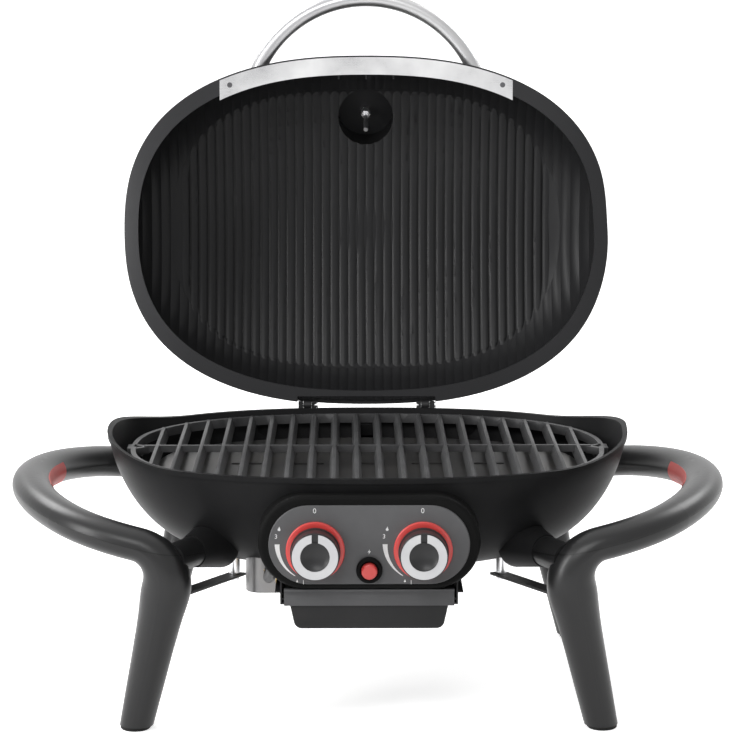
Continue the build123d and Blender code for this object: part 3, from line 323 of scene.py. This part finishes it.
def finish(name, colour, roughness, **options):
    """A material: one surface skin group into one Principled shader.

    Options: second (a second tone), metallic, coat, specular, and the skin's inputs
    spread, cloud, grain, depth, stretch and speck.
    """
    second = options.get("second") or [c * 1.5 for c in colour]
    values = {
        "Colour": (*colour, 1),
        "Second Colour": (*second, 1),
        "Roughness": roughness,
        "Roughness Spread": options.get("spread", 0.1),
        "Cloud Size": options.get("cloud", 14.0),
        "Grain Size": options.get("grain", 900.0),
        "Grain Depth": options.get("depth", 0.1),
        "Stretch": options.get("stretch", (1, 1, 1)),
        "Speck Amount": options.get("speck", 0.0),
    }
    material = grouped(name, skin_group(), values, options.get("specular", 0.5))
    shader = material.node_tree.nodes["Principled BSDF"]
    shader.inputs["Metallic"].default_value = options.get("metallic", 0.0)
    shader.inputs["Coat Weight"].default_value = options.get("coat", 0.0)
    shader.inputs["Coat Roughness"].default_value = 0.12
    return material


def lid_group():
    """Enamel of the lid: grey rim band, a lighter inside colour as painted highlight on the inner
    walls, and flutes that run on down the inner walls.
    """
    found = bpy.data.node_groups.get("Lid casting")
    if found:
        return found
    tree, start, end = new_group(
        "Lid casting",
        (
            ("NodeSocketColor", "Colour", (0.02, 0.02, 0.02, 1)),
            ("NodeSocketColor", "Inside Painted Highlight Colour", (0.05, 0.05, 0.05, 1)),
            ("NodeSocketColor", "Band Colour", (0.14, 0.14, 0.145, 1)),
        ),
        (
            ("NodeSocketColor", "Colour"),
            ("NodeSocketFloat", "Roughness"),
            ("NodeSocketVector", "Normal"),
        ),
    )
    link = tree.links.new
    coordinates = tree.nodes.new("ShaderNodeTexCoord")
    closed, facing = [], []
    for output, kind, parts in (("Object", "POINT", closed), ("Normal", "VECTOR", facing)):
        turn = tree.nodes.new("ShaderNodeMapping")
        turn.vector_type = kind
        turn.inputs["Rotation"].default_value = (LID_ANGLE, 0, 0)
        shift = -(Matrix.Rotation(LID_ANGLE, 4, "X") @ Vector(HINGE["pos_m"])) + CLOSED_HINGE
        if kind == "POINT":
            turn.inputs["Location"].default_value = shift
        link(coordinates.outputs[output], turn.inputs["Vector"])
        split = tree.nodes.new("ShaderNodeSeparateXYZ")
        link(turn.outputs[0], split.inputs[0])
        parts.extend(split.outputs)
    x, y, z = closed
    powers = []
    for distance, half in ((x, LID_HALF_X), (y, LID_HALF_Y)):
        part = math_node(tree, "ABSOLUTE", math_node(tree, "DIVIDE", distance, half))
        powers.append(math_node(tree, "POWER", part, PLAN_POWER))
    share = math_node(tree, "ADD", *powers)
    inward = math_node(
        tree, "MULTIPLY_ADD", x, facing[0], math_node(tree, "MULTIPLY", y, facing[1])
    )
    downward = math_node(tree, "MULTIPLY", facing[2], -1.0)
    low = math_node(tree, "LESS_THAN", z, BAND_TOP)
    band = math_node(tree, "MULTIPLY", low, math_node(tree, "GREATER_THAN", downward, 0.85))
    inner = math_node(tree, "LESS_THAN", inward, 0.012)
    inner = math_node(tree, "MULTIPLY", inner, math_node(tree, "LESS_THAN", share, 0.97))
    under = math_node(tree, "GREATER_THAN", downward, -0.25)
    inner = math_node(tree, "MULTIPLY", inner, under)
    phase = math_node(tree, "FRACT", math_node(tree, "DIVIDE", x, FLUTE_PITCH))
    swing = math_node(tree, "MULTIPLY_ADD", phase, 2.0, -1.0)
    crest = math_node(tree, "SUBTRACT", 1.0, math_node(tree, "MULTIPLY", swing, swing))
    vault_share = 0.62
    wall = math_node(tree, "GREATER_THAN", share, vault_share)
    wall = math_node(tree, "MULTIPLY", wall, inner)
    wall = math_node(tree, "MULTIPLY", wall, math_node(tree, "SUBTRACT", 1.0, band))
    grain = add_node(tree, "ShaderNodeTexNoise", scale=1400.0, detail=3.0)
    link(coordinates.outputs["Object"], grain.inputs["Vector"])
    flutes = math_node(tree, "MULTIPLY", crest, wall)
    height = math_node(tree, "MULTIPLY_ADD", grain.outputs["Fac"], 0.05, flutes)
    bump = add_node(tree, "ShaderNodeBump", distance=0.0009)
    link(height, bump.inputs["Height"])
    link(bump.outputs["Normal"], end.inputs["Normal"])
    cloud = add_node(tree, "ShaderNodeTexNoise", scale=14.0, detail=4.0)
    link(coordinates.outputs["Object"], cloud.inputs["Vector"])
    # Inner walls take the lighter inside colour, a painted highlight on the same enamel
    tone = mix_colour(tree, inner, start.outputs["Colour"], start.outputs["Inside Painted Highlight Colour"])
    link(mix_colour(tree, band, tone, start.outputs["Band Colour"]), end.inputs["Colour"])
    rough = math_node(tree, "MULTIPLY_ADD", cloud.outputs["Fac"], 0.12, 0.29)
    link(rough, end.inputs["Roughness"])
    return tree


def frame_group():
    """Moulded nylon with the thin parting line along the middle of each loop."""
    found = bpy.data.node_groups.get("Moulded frame")
    if found:
        return found
    tree, start, end = new_group(
        "Moulded frame",
        (("NodeSocketColor", "Colour", (0.02, 0.02, 0.02, 1)),),
        (
            ("NodeSocketColor", "Colour"),
            ("NodeSocketFloat", "Roughness"),
            ("NodeSocketVector", "Normal"),
        ),
    )
    link = tree.links.new
    coordinates = tree.nodes.new("ShaderNodeTexCoord")
    split = tree.nodes.new("ShaderNodeSeparateXYZ")
    link(coordinates.outputs["Object"], split.inputs[0])
    long = hypot(LOOP_REACH, LOOP_CLIMB)
    aside = math_node(tree, "ABSOLUTE", split.outputs[0])
    outwards = math_node(tree, "SUBTRACT", aside, LOOP_START_X)
    upwards = math_node(tree, "SUBTRACT", split.outputs[2], LOOP_START_Z)
    level = math_node(tree, "MULTIPLY", upwards, LOOP_REACH / long)
    off = math_node(tree, "MULTIPLY_ADD", outwards, -LOOP_CLIMB / long, level)
    half_line = 0.5 * MM
    seam = math_node(tree, "LESS_THAN", math_node(tree, "ABSOLUTE", off), half_line)
    on_loop = math_node(tree, "GREATER_THAN", split.outputs[2], LOOP_LOWEST_Z)
    seam = math_node(tree, "MULTIPLY", seam, on_loop)
    grain = add_node(tree, "ShaderNodeTexNoise", scale=2200.0, detail=3.0)
    link(coordinates.outputs["Object"], grain.inputs["Vector"])
    cloud = add_node(tree, "ShaderNodeTexNoise", scale=9.0, detail=3.0)
    link(coordinates.outputs["Object"], cloud.inputs["Vector"])
    fine = math_node(tree, "MULTIPLY", grain.outputs["Fac"], 0.06)
    height = math_node(tree, "MULTIPLY_ADD", seam, -1.0, fine)
    bump = add_node(tree, "ShaderNodeBump", distance=0.0004)
    link(height, bump.inputs["Height"])
    link(bump.outputs["Normal"], end.inputs["Normal"])
    link(
        mix_colour(tree, seam, start.outputs["Colour"], (0.003, 0.003, 0.003, 1)),
        end.inputs["Colour"],
    )
    rough = math_node(tree, "MULTIPLY_ADD", cloud.outputs["Fac"], 0.12, 0.28)
    link(rough, end.inputs["Roughness"])
    return tree


# Materials of the grill


def colours():
    """The base colours that the user may change."""
    return bpy.context.scene.grill_colours


def enamel():
    """Satin black enamel of the castings."""
    return finish(
        "casting_enamel", colours().casting, 0.4, spread=0.14, grain=1400, depth=0.16,
        specular=0.06,
    )


def lid_enamel():
    """Enamel of the lid, with its grey rim band and fluted inner walls, which are made lighter as
    painted highlight.
    """
    return grouped(
        "lid_enamel", lid_group(),
        {
            "Colour": (*colours().casting, 1),
            "Inside Painted Highlight Colour": (*colours().lid_inside_painted_highlight, 1),
            "Band Colour": (*colours().rim_band, 1),
        },
        0.15,
    )


def moulded_black():
    """Satin moulded nylon of the side frames, with its parting line."""
    values = {"Colour": (*colours().moulding, 1)}
    return grouped("side_frame_nylon", frame_group(), values, 0.38)


def plate_grey():
    """Grey paint of the tray's front."""
    return finish(
        "tray_plate_grey", (0.09, 0.09, 0.093), 0.45, specular=0.25, grain=2400, depth=0.05
    )


def print_white():
    """White screen print of the panel."""
    return finish("panel_print", (0.72, 0.72, 0.72), 0.55, grain=2600, depth=0.04)


def print_black():
    """Black print of the dial."""
    return finish("dial_print", (0.02, 0.02, 0.02), 0.5, grain=2600, depth=0.04)


def screw_dark():
    """Dark steel of the trim screws."""
    return finish("screw_dark", (0.1, 0.1, 0.105), 0.35, metallic=0.9, grain=1800, depth=0.08)


def housing_black():
    """Deep black of the panel's housing."""
    return finish(
        "housing_paint", (0.006, 0.006, 0.006), 0.5, specular=0.05, grain=1800, depth=0.1
    )


def fascia_grey():
    """Grey paint of the panel, with fine pale specks."""
    return finish(
        "fascia_paint", colours().fascia, 0.42, second=(0.14, 0.14, 0.144), specular=0.25,
        grain=2600, depth=0.06, speck=0.25,
    )


def iron():
    """Enamelled cast iron of the grate."""
    return finish(
        "iron_enamel", (0.06, 0.06, 0.062), 0.4, second=(0.1, 0.1, 0.102), spread=0.2,
        grain=1500, depth=0.5, cloud=40, specular=0.3,
    )


def bright_steel():
    """Plated steel of pins, posts, stems and screws."""
    return finish("zinc_steel", (0.62, 0.62, 0.63), 0.3, metallic=1.0, grain=1600, depth=0.08)


def sheet_steel():
    """Rolled sheet, drawn out along Y."""
    return finish(
        "plain_sheet", (0.2, 0.2, 0.205), 0.36, second=(0.26, 0.25, 0.24), metallic=0.9,
        grain=700, stretch=(1, 0.06, 1), depth=0.12,
    )


def brushed_silver():
    """Aluminium brushed along the strip."""
    return finish(
        "brushed_silver", colours().silver, 0.3, second=(0.8, 0.8, 0.8), metallic=1.0,
        spread=0.2, grain=2600, stretch=(0.03, 1, 1), depth=0.1,
    )


def satin_silver():
    """Satin metal of handle, knob faces and thermometer case."""
    return finish(
        "satin_silver", (0.42, 0.42, 0.43), 0.34, second=(0.52, 0.52, 0.52), metallic=0.9,
        spread=0.08, grain=3000, depth=0.05,
    )


def knob_black():
    """Moulded black of the knobs."""
    return finish(
        "knob_moulding", (0.022, 0.022, 0.023), 0.34, specular=0.3, grain=2400, depth=0.08
    )


def accent_red():
    """Glossy red of rings, button and needle."""
    return finish(
        "accent_red", colours().accent, 0.32, second=(0.86, 0.09, 0.08), grain=1600, depth=0.04,
        coat=0.3,
    )


def accent_matt():
    """Matt red of the grip inserts."""
    return finish(
        "grip_red", (0.72, 0.07, 0.06), 0.5, second=(0.8, 0.12, 0.1), grain=1600, depth=0.12
    )


def dark_paint():
    """Black paint of straps, rails, pipe and hinges."""
    return finish("dark_paint", (0.018, 0.018, 0.019), 0.4, specular=0.2, grain=1200, depth=0.12)


def tray_black():
    """Black enamel of the tray's pan."""
    return finish("tray_enamel", (0.018, 0.018, 0.0185), 0.42, specular=0.2, grain=1200, depth=0.06)


def brass():
    """Turned brass of valves and gas inlet."""
    return finish("turned_brass", (0.7, 0.5, 0.2), 0.25, metallic=1.0, grain=1500, depth=0.1)


def rubber():
    """Black rubber of the feet."""
    return finish("foot_moulding", (0.015, 0.015, 0.015), 0.65, specular=0.2, grain=1800, depth=0.3)


def ceramic():
    """Glazed white of the spark electrodes."""
    return finish("electrode_glaze", (0.8, 0.78, 0.72), 0.2, coat=0.5, grain=900, depth=0.03)


def dial_paint():
    """White face of the dial."""
    return finish("dial_paint", (0.8, 0.8, 0.78), 0.45, grain=2000, depth=0.03)


def glass():
    """Clear lens of the thermometer."""
    material = finish("lens_glass", (0.96, 0.98, 0.98), 0.06, spread=0.02, depth=0.01)
    shader = material.node_tree.nodes["Principled BSDF"]
    shader.inputs["Transmission Weight"].default_value = 1.0
    return material


# Helpers for pieces


def paint(material, *names):
    """Gives a carried-over node its material."""
    for name in names:
        node = frame["nodes"][name]
        node.data.materials.clear()
        node.data.materials.append(material)


def new_piece(name, shape, material, body, replaces=()):
    """A finished object made of a bmesh. It rides on a body and may stand for CAD nodes."""
    mesh = bpy.data.meshes.new(name)
    shape.to_mesh(mesh)
    shape.free()
    for polygon in mesh.polygons:
        polygon.use_smooth = True
    mesh.set_sharp_from_angle(angle=SHARP_ANGLE)
    mesh.materials.append(material)
    piece = bpy.data.objects.new(name, mesh)
    bpy.context.scene.collection.objects.link(piece)
    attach(piece, body)
    if replaces:
        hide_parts(*replaces)
    return piece


def turned(shape, profile, place, direction, steps=32):
    """Adds a turned form: a closed outline of (radius, height) spun about an axis."""
    turn = Vector(direction).normalized().to_track_quat("Z", "Y").to_matrix().to_4x4()
    turn.translation = Vector(place)
    corners = [shape.verts.new(turn @ Vector((radius, 0, height))) for radius, height in profile]
    edges = [shape.edges.new(pair) for pair in zip(corners, corners[1:])]
    before = set(shape.faces)
    bmesh.ops.spin(
        shape, geom=corners + edges, cent=place, axis=Vector(direction).normalized(),
        dvec=(0, 0, 0), angle=2 * pi, steps=steps, use_merge=True, use_duplicate=False,
    )
    added = [face for face in shape.faces if face not in before]
    touched = {vertex for face in added for vertex in face.verts}
    bmesh.ops.remove_doubles(shape, verts=list(touched), dist=0.000002)
    bmesh.ops.recalc_face_normals(shape, faces=shape.faces)


def softened(name, material, width, body):
    """A copy of a flat-sided CAD piece with its sharp edges rounded, standing for it."""
    shape = bmesh.new()
    shape.from_mesh(frame["nodes"][name].data)
    bmesh.ops.remove_doubles(shape, verts=shape.verts, dist=0.00001)
    bmesh.ops.dissolve_limit(
        shape, angle_limit=radians(1), verts=shape.verts, edges=shape.edges
    )
    bmesh.ops.triangulate(shape, faces=[f for f in shape.faces if len(f.verts) > 4])
    piece = new_piece(f"{name}_cast", shape, material, body, (name,))
    rounding = piece.modifiers.new("edge", "BEVEL")
    rounding.width = width
    rounding.segments = 2
    rounding.limit_method = "ANGLE"
    rounding.angle_limit = SHARP_ANGLE
    return piece


def slab(shape, outline, place, right, up, thick):
    """Adds a thin plate: a flat outline of (right, up) points raised along the face."""
    out = Vector(right).cross(Vector(up)).normalized()
    base = Vector(place)
    corners = [
        shape.verts.new(base + Vector(right) * a + Vector(up) * b) for a, b in outline
    ]
    face = shape.faces.new(corners)
    grown = bmesh.ops.extrude_face_region(shape, geom=[face])["geom"]
    moved = [item for item in grown if isinstance(item, bmesh.types.BMVert)]
    bmesh.ops.translate(shape, verts=moved, vec=out * thick)


def figures(shape, text, place, right, up, size, thick):
    """Adds plain figures as thin raised print, centred on a place."""
    curve = bpy.data.curves.new("figures", "FONT")
    curve.body = text
    curve.size = size
    curve.align_x = "CENTER"
    curve.align_y = "CENTER"
    curve.extrude = thick / 2
    item = bpy.data.objects.new("figures", curve)
    bpy.context.scene.collection.objects.link(item)
    bpy.context.view_layer.update()
    mesh = bpy.data.meshes.new_from_object(item)
    right, up = Vector(right).normalized(), Vector(up).normalized()
    out = right.cross(up)
    turn = Matrix((right, up, out)).transposed().to_4x4()
    turn.translation = Vector(place) + out * thick / 2
    mesh.transform(turn)
    shape.from_mesh(mesh)
    bpy.data.objects.remove(item)
    bpy.data.curves.remove(curve)
    bpy.data.meshes.remove(mesh)


def panel_marks():
    """White print on the fascia: a tapered arc, three figures and two flames for each knob."""
    shape = bmesh.new()
    right, up = Vector((1, 0, 0)), Vector((0, 0, 1))
    thick = 0.00012
    face = FASCIA_FRONT - 0.00002
    arc_radius, arc_steps = 0.0365, 18
    wide_half, thin_half = 0.0024, 0.0003
    # Text, distance to the right of and above the arc's middle, and size
    texts = (
        ("0", -0.0006, 0.0325, 0.007), ("3", -0.0375, 0.0075, 0.006), ("1", -0.0115, -0.0375, 0.006),
    )
    # Outline of a flame in millimetres, then the place and scale of each one
    flame = [
        (0.0, -2.0), (1.0, -1.7), (1.4, -0.8), (1.0, 0.3), (0.2, 2.4), (-0.5, 0.8),
        (-1.3, 0.0), (-1.4, -1.0), (-0.9, -1.7),
    ]
    flames = ((-0.0345, 0.015, 1.0), (-0.0175, -0.036, 0.7))
    for centre in (-KNOB_X, KNOB_X):
        middle = Vector((centre, face, KNOB_Z + 0.006))
        outer, inner = [], []
        for i in range(arc_steps + 1):
            share = i / arc_steps
            angle = radians(180 + 58 * share)
            half = wide_half * (1 - share) + thin_half * share
            for radius, points in ((arc_radius + half, outer), (arc_radius - half, inner)):
                points.append((radius * cos(angle), radius * sin(angle)))
        slab(shape, outer + inner[::-1], middle, right, up, thick)
        for text, across, high, size in texts:
            figures(shape, text, middle + Vector((across, 0, high)), right, up, size, thick)
        for across, high, scale in flames:
            place = middle + Vector((across, 0, high))
            outline = [(a * scale * MM, b * scale * MM) for a, b in flame]
            slab(shape, outline, place, right, up, thick)
    # Outline of the spark in millimetres
    spark = [
        (0.6, 2.6), (-1.6, -0.4), (-0.2, -0.4), (-0.8, -2.6), (1.5, 0.6), (0.1, 0.6),
    ]
    place = Vector((0, face, BUTTON_Z + 0.0175))
    slab(shape, [(a * MM, b * MM) for a, b in spark], place, right, up, thick)
    bmesh.ops.recalc_face_normals(shape, faces=shape.faces)
    return new_piece("panel_marks", shape, print_white(), "base")


def dial_marks():
    """Ticks and plain figures printed on the thermometer's dial."""
    shape = bmesh.new()
    up = Vector((0, cos(DIAL_LEAN), sin(DIAL_LEAN)))
    right = Vector((1, 0, 0))
    thick = 0.0001
    first_angle, sweep, ticks = 225, 270, 30
    tick_radius, figure_radius = 0.0265, 0.0185
    for i in range(ticks + 1):
        angle = radians(first_angle - sweep * i / ticks)
        long, half = (0.004, 0.00035) if i % 5 == 0 else (0.0022, 0.00018)
        along = right * cos(angle) + up * sin(angle)
        aside = right * -sin(angle) + up * cos(angle)
        outline = [(-long, -half), (0, -half), (0, half), (-long, half)]
        slab(shape, outline, DIAL_PLACE + along * tick_radius, along, aside, thick)
    for i in range(7):
        angle = radians(first_angle - sweep * i / 6)
        place = DIAL_PLACE + (right * cos(angle) + up * sin(angle)) * figure_radius
        figures(shape, str(50 + 50 * i), place, right, up, 0.0044, thick)
    shape.transform(OPEN_LID)
    bmesh.ops.recalc_face_normals(shape, faces=shape.faces)
    return new_piece("dial_marks", shape, print_black(), "lid")


def trim_screw_heads():
    """Flat heads with a round recess, let into both ends of the trim strip."""
    shape = bmesh.new()
    profile = [
        (0, -0.0007), (0.0009, -0.0007), (0.0012, 0.00015), (0.0027, 0.00015),
        (0.0030, -0.0001), (0.0030, -0.0010), (0, -0.0010),
    ]
    share = (TRIM_SCREW_X / LID_HALF_X) ** PLAN_POWER
    edge = LID_HALF_Y * (1 - share) ** (1 / PLAN_POWER)
    for x in (-TRIM_SCREW_X, TRIM_SCREW_X):
        turned(shape, profile, (x, TRIM_SCREW_BACK - edge, TRIM_SCREW_Z), (0, 0, -1))
    shape.transform(OPEN_LID)
    bmesh.ops.recalc_face_normals(shape, faces=shape.faces)
    return new_piece("trim_screw_heads", shape, screw_dark(), "lid")


# Operators


class GRILL_OT_castings(bpy.types.Operator):
    """Bowl and lid castings"""

    bl_idname = "grill.castings"
    bl_label = "Bowl and lid"

    def execute(self, context):
        paint(enamel(), "bowl")
        paint(lid_enamel(), "lid")
        return {"FINISHED"}


class GRILL_OT_lid_fittings(bpy.types.Operator):
    """Trim strip, handle, hinges and their screws"""

    bl_idname = "grill.lid_fittings"
    bl_label = "Lid fittings"

    def execute(self, context):
        paint(brushed_silver(), "lid_trim")
        paint(satin_silver(), "lid_handle")
        paint(dark_paint(), "lid_hinge_leaves", "hinge_ears")
        paint(bright_steel(), "hinge_pins", "handle_screws")
        paint(screw_dark(), "trim_screws")
        trim_screw_heads()
        return {"FINISHED"}


class GRILL_OT_thermometer(bpy.types.Operator):
    """Lid thermometer"""

    bl_idname = "grill.thermometer"
    bl_label = "Thermometer"

    def execute(self, context):
        paint(bright_steel(), "thermometer_probe", "thermometer_nuts")
        paint(satin_silver(), "thermometer_case", "thermometer_bezel")
        paint(dial_paint(), "thermometer_dial")
        paint(glass(), "thermometer_lens")
        paint(accent_red(), "thermometer_needle")
        dial_marks()
        return {"FINISHED"}


class GRILL_OT_cooking_parts(bpy.types.Operator):
    """Grate, heat plate, burners and electrodes"""

    bl_idname = "grill.cooking_parts"
    bl_label = "Grate and burners"

    def execute(self, context):
        softened("grate", iron(), 0.0006, "grate")
        paint(sheet_steel(), "heat_plate", "burner_left", "burner_right")
        paint(ceramic(), "spark_electrodes")
        return {"FINISHED"}


class GRILL_OT_panel(bpy.types.Operator):
    """Housing, fascia, igniter and gas fittings"""

    bl_idname = "grill.panel"
    bl_label = "Control panel"

    def execute(self, context):
        paint(housing_black(), "control_housing", "igniter_body", "igniter_collar")
        paint(fascia_grey(), "fascia_plate")
        paint(accent_red(), "knob_ring_left", "knob_ring_right", "igniter_button")
        paint(dark_paint(), "gas_manifold")
        paint(sheet_steel(), "inlet_bracket")
        paint(brass(), "gas_inlet", "valve_body_left", "valve_body_right")
        paint(brass(), "valve_plug_left", "valve_plug_right")
        paint(bright_steel(), "valve_stem_left", "valve_stem_right")
        panel_marks()
        return {"FINISHED"}


class GRILL_OT_knobs(bpy.types.Operator):
    """Knobs and their silver faces"""

    bl_idname = "grill.knobs"
    bl_label = "Knobs"

    def execute(self, context):
        paint(knob_black(), "knob_left", "knob_right")
        paint(satin_silver(), "knob_face_left", "knob_face_right")
        return {"FINISHED"}


class GRILL_OT_tray(bpy.types.Operator):
    """Drip tray, its front and its rails"""

    bl_idname = "grill.tray"
    bl_label = "Drip tray"

    def execute(self, context):
        paint(tray_black(), "drip_tray")
        paint(plate_grey(), "tray_front")
        paint(dark_paint(), "tray_rail_left", "tray_rail_right")
        return {"FINISHED"}


class GRILL_OT_side_frames(bpy.types.Operator):
    """Side frames, grip inserts, feet and stays"""

    bl_idname = "grill.side_frames"
    bl_label = "Side frames"

    def execute(self, context):
        paint(moulded_black(), "side_frame_left", "side_frame_right")
        paint(accent_matt(), "grip_insert_left", "grip_insert_right")
        paint(rubber(), "feet")
        paint(dark_paint(), "leg_stays")
        paint(bright_steel(), "stay_posts", "stay_screws", "frame_bolts")
        return {"FINISHED"}


def add_floor():
    """A pale floor that runs up into a backdrop."""
    shape = bmesh.new()
    width, front, back, turn, top = 14.0, -7.0, 3.0, 1.5, 7.0
    points = [Vector((0, front, 0)), Vector((0, back, 0))]
    steps = 16
    for i in range(1, steps + 1):
        angle = i / steps * pi / 2
        points.append(Vector((0, back + turn * sin(angle), turn * (1 - cos(angle)))))
    points.append(Vector((0, back + turn, top)))
    left = [shape.verts.new(p + Vector((-width / 2, 0, 0))) for p in points]
    edges = [shape.edges.new(pair) for pair in zip(left, left[1:])]
    grown = bmesh.ops.extrude_edge_only(shape, edges=edges)["geom"]
    moved = [v for v in grown if isinstance(v, bmesh.types.BMVert)]
    bmesh.ops.translate(shape, verts=moved, vec=(width, 0, 0))
    bmesh.ops.recalc_face_normals(shape, faces=shape.faces)
    mesh = bpy.data.meshes.new("floor")
    shape.to_mesh(mesh)
    shape.free()
    for polygon in mesh.polygons:
        polygon.use_smooth = True
    floor = bpy.data.objects.new("floor", mesh)
    bpy.context.scene.collection.objects.link(floor)
    return floor


def seen_directly(tree):
    """1 for camera, glossy and transmission rays, 0 for the light that falls on the object."""
    path = tree.nodes.new("ShaderNodeLightPath")
    seen = math_node(tree, "MAXIMUM", path.outputs["Is Camera Ray"], path.outputs["Is Glossy Ray"])
    return math_node(tree, "MAXIMUM", seen, path.outputs["Is Transmission Ray"])


def floor_material():
    """White floor that shows the shadow and looks white to camera and reflections."""
    material = bpy.data.materials.new("floor_white")
    material.use_nodes = True
    tree = material.node_tree
    shader = tree.nodes["Principled BSDF"]
    shader.inputs["Base Color"].default_value = (0.86, 0.86, 0.86, 1)
    shader.inputs["Roughness"].default_value = 0.9
    shader.inputs["Specular IOR Level"].default_value = 0.0
    shader.inputs["Emission Color"].default_value = (1, 1, 1, 1)
    coordinates = tree.nodes.new("ShaderNodeTexCoord")
    flat = tree.nodes.new("ShaderNodeVectorMath")
    flat.operation = "MULTIPLY"
    flat.inputs[1].default_value = (1, 1, 0)
    tree.links.new(coordinates.outputs["Object"], flat.inputs[0])
    far = tree.nodes.new("ShaderNodeVectorMath")
    far.operation = "LENGTH"
    tree.links.new(flat.outputs[0], far.inputs[0])
    away = math_node(tree, "MULTIPLY_ADD", far.outputs["Value"], 1.0, -0.4)
    away = math_node(tree, "MINIMUM", math_node(tree, "MAXIMUM", away, 0.0), 1.0)
    level = math_node(tree, "MULTIPLY_ADD", away, 0.24, 0.76)
    strength = math_node(tree, "MULTIPLY", seen_directly(tree), level)
    tree.links.new(strength, shader.inputs["Emission Strength"])
    return material


def add_lamp(name, place, target, size, power):
    """A rectangular soft box that faces a point."""
    lamp = bpy.data.lights.new(name, "AREA")
    lamp.shape = "RECTANGLE"
    lamp.size, lamp.size_y = size
    lamp.energy = power * bpy.context.scene.grill_stage.lamp_level
    item = bpy.data.objects.new(name, lamp)
    item.location = place
    item.rotation_euler = (Vector(target) - Vector(place)).to_track_quat("-Z", "Y").to_euler()
    bpy.context.scene.collection.objects.link(item)
    return item


def add_world():
    """White surroundings: bright to camera and reflections, level to the object."""
    world = bpy.data.worlds.new("studio")
    bpy.context.scene.world = world
    world.use_nodes = True
    tree = world.node_tree
    background = tree.nodes["Background"]
    background.inputs["Color"].default_value = (1, 1, 1, 1)
    on_object = 0.12
    level = math_node(tree, "MULTIPLY_ADD", seen_directly(tree), 1 - on_object, on_object)
    tree.links.new(level, background.inputs["Strength"])


# Name, place about the grill's middle, size and power in watts of each soft box
LAMPS = (
    ("top_box", (0, 0.3, 2.6), (2.6, 1.6), 6),
    ("front_box", (-0.9, -2.8, 2.9), (2.4, 1.4), 52),
    ("key_box", (-2.6, -1.3, 1.3), (0.6, 2.0), 52),
    ("left_rim", (-1.6, 1.6, 2.4), (1.4, 1.2), 42),
    ("right_rim", (1.8, 1.6, 2.2), (1.2, 1.2), 28),
)


class GRILL_OT_stage(bpy.types.Operator):
    """Floor, lamps, world and camera"""

    bl_idname = "grill.stage"
    bl_label = "Stage"

    def execute(self, context):
        stage = context.scene.grill_stage
        floor = add_floor()
        floor.data.materials.append(floor_material())
        add_world()
        aim = (0, MIDDLE_Y, 0.3)
        for name, place, size, power in LAMPS:
            add_lamp(name, (place[0], MIDDLE_Y + place[1], place[2]), aim, size, power)
        camera = bpy.data.cameras.new("camera")
        camera.sensor_width = 36.0
        camera.lens = stage.focal_pixels / 736 * camera.sensor_width
        camera.clip_end = 60
        item = bpy.data.objects.new("camera", camera)
        item.location = (stage.camera_side, MIDDLE_Y - stage.camera_back, stage.camera_height)
        item.rotation_euler = (pi / 2 - stage.camera_pitch, 0, -stage.camera_yaw)
        context.scene.collection.objects.link(item)
        context.scene.camera = item
        context.scene.view_settings.view_transform = "Standard"
        return {"FINISHED"}


class GRILL_PT_panel(bpy.types.Panel):
    """Sidebar panel with one button per group of pieces"""

    bl_idname = "GRILL_PT_panel"
    bl_label = "Tabletop gas grill"
    bl_space_type = "VIEW_3D"
    bl_region_type = "UI"
    bl_category = "Grill"

    def draw(self, context):
        for settings in (context.scene.grill_colours, context.scene.grill_stage):
            for name in settings.bl_rna.properties.keys():
                if name not in ("rna_type", "name"):
                    self.layout.prop(settings, name)
        for operator in OPERATORS:
            self.layout.operator(operator.bl_idname)


OPERATORS = (
    GRILL_OT_castings,
    GRILL_OT_lid_fittings,
    GRILL_OT_thermometer,
    GRILL_OT_cooking_parts,
    GRILL_OT_panel,
    GRILL_OT_knobs,
    GRILL_OT_tray,
    GRILL_OT_side_frames,
    GRILL_OT_stage,
)
CLASSES = (GrillColours, GrillStage, *OPERATORS, GRILL_PT_panel)


def register():
    for item in CLASSES:
        bpy.utils.register_class(item)
    bpy.types.Scene.grill_colours = PointerProperty(type=GrillColours)
    bpy.types.Scene.grill_stage = PointerProperty(type=GrillStage)


def unregister():
    del bpy.types.Scene.grill_stage
    del bpy.types.Scene.grill_colours
    for item in reversed(CLASSES):
        bpy.utils.unregister_class(item)


def main():
    register()
    for operator in OPERATORS:
        group, name = operator.bl_idname.split(".")
        getattr(getattr(bpy.ops, group), name)()


if __name__ == "__main__":
    main()
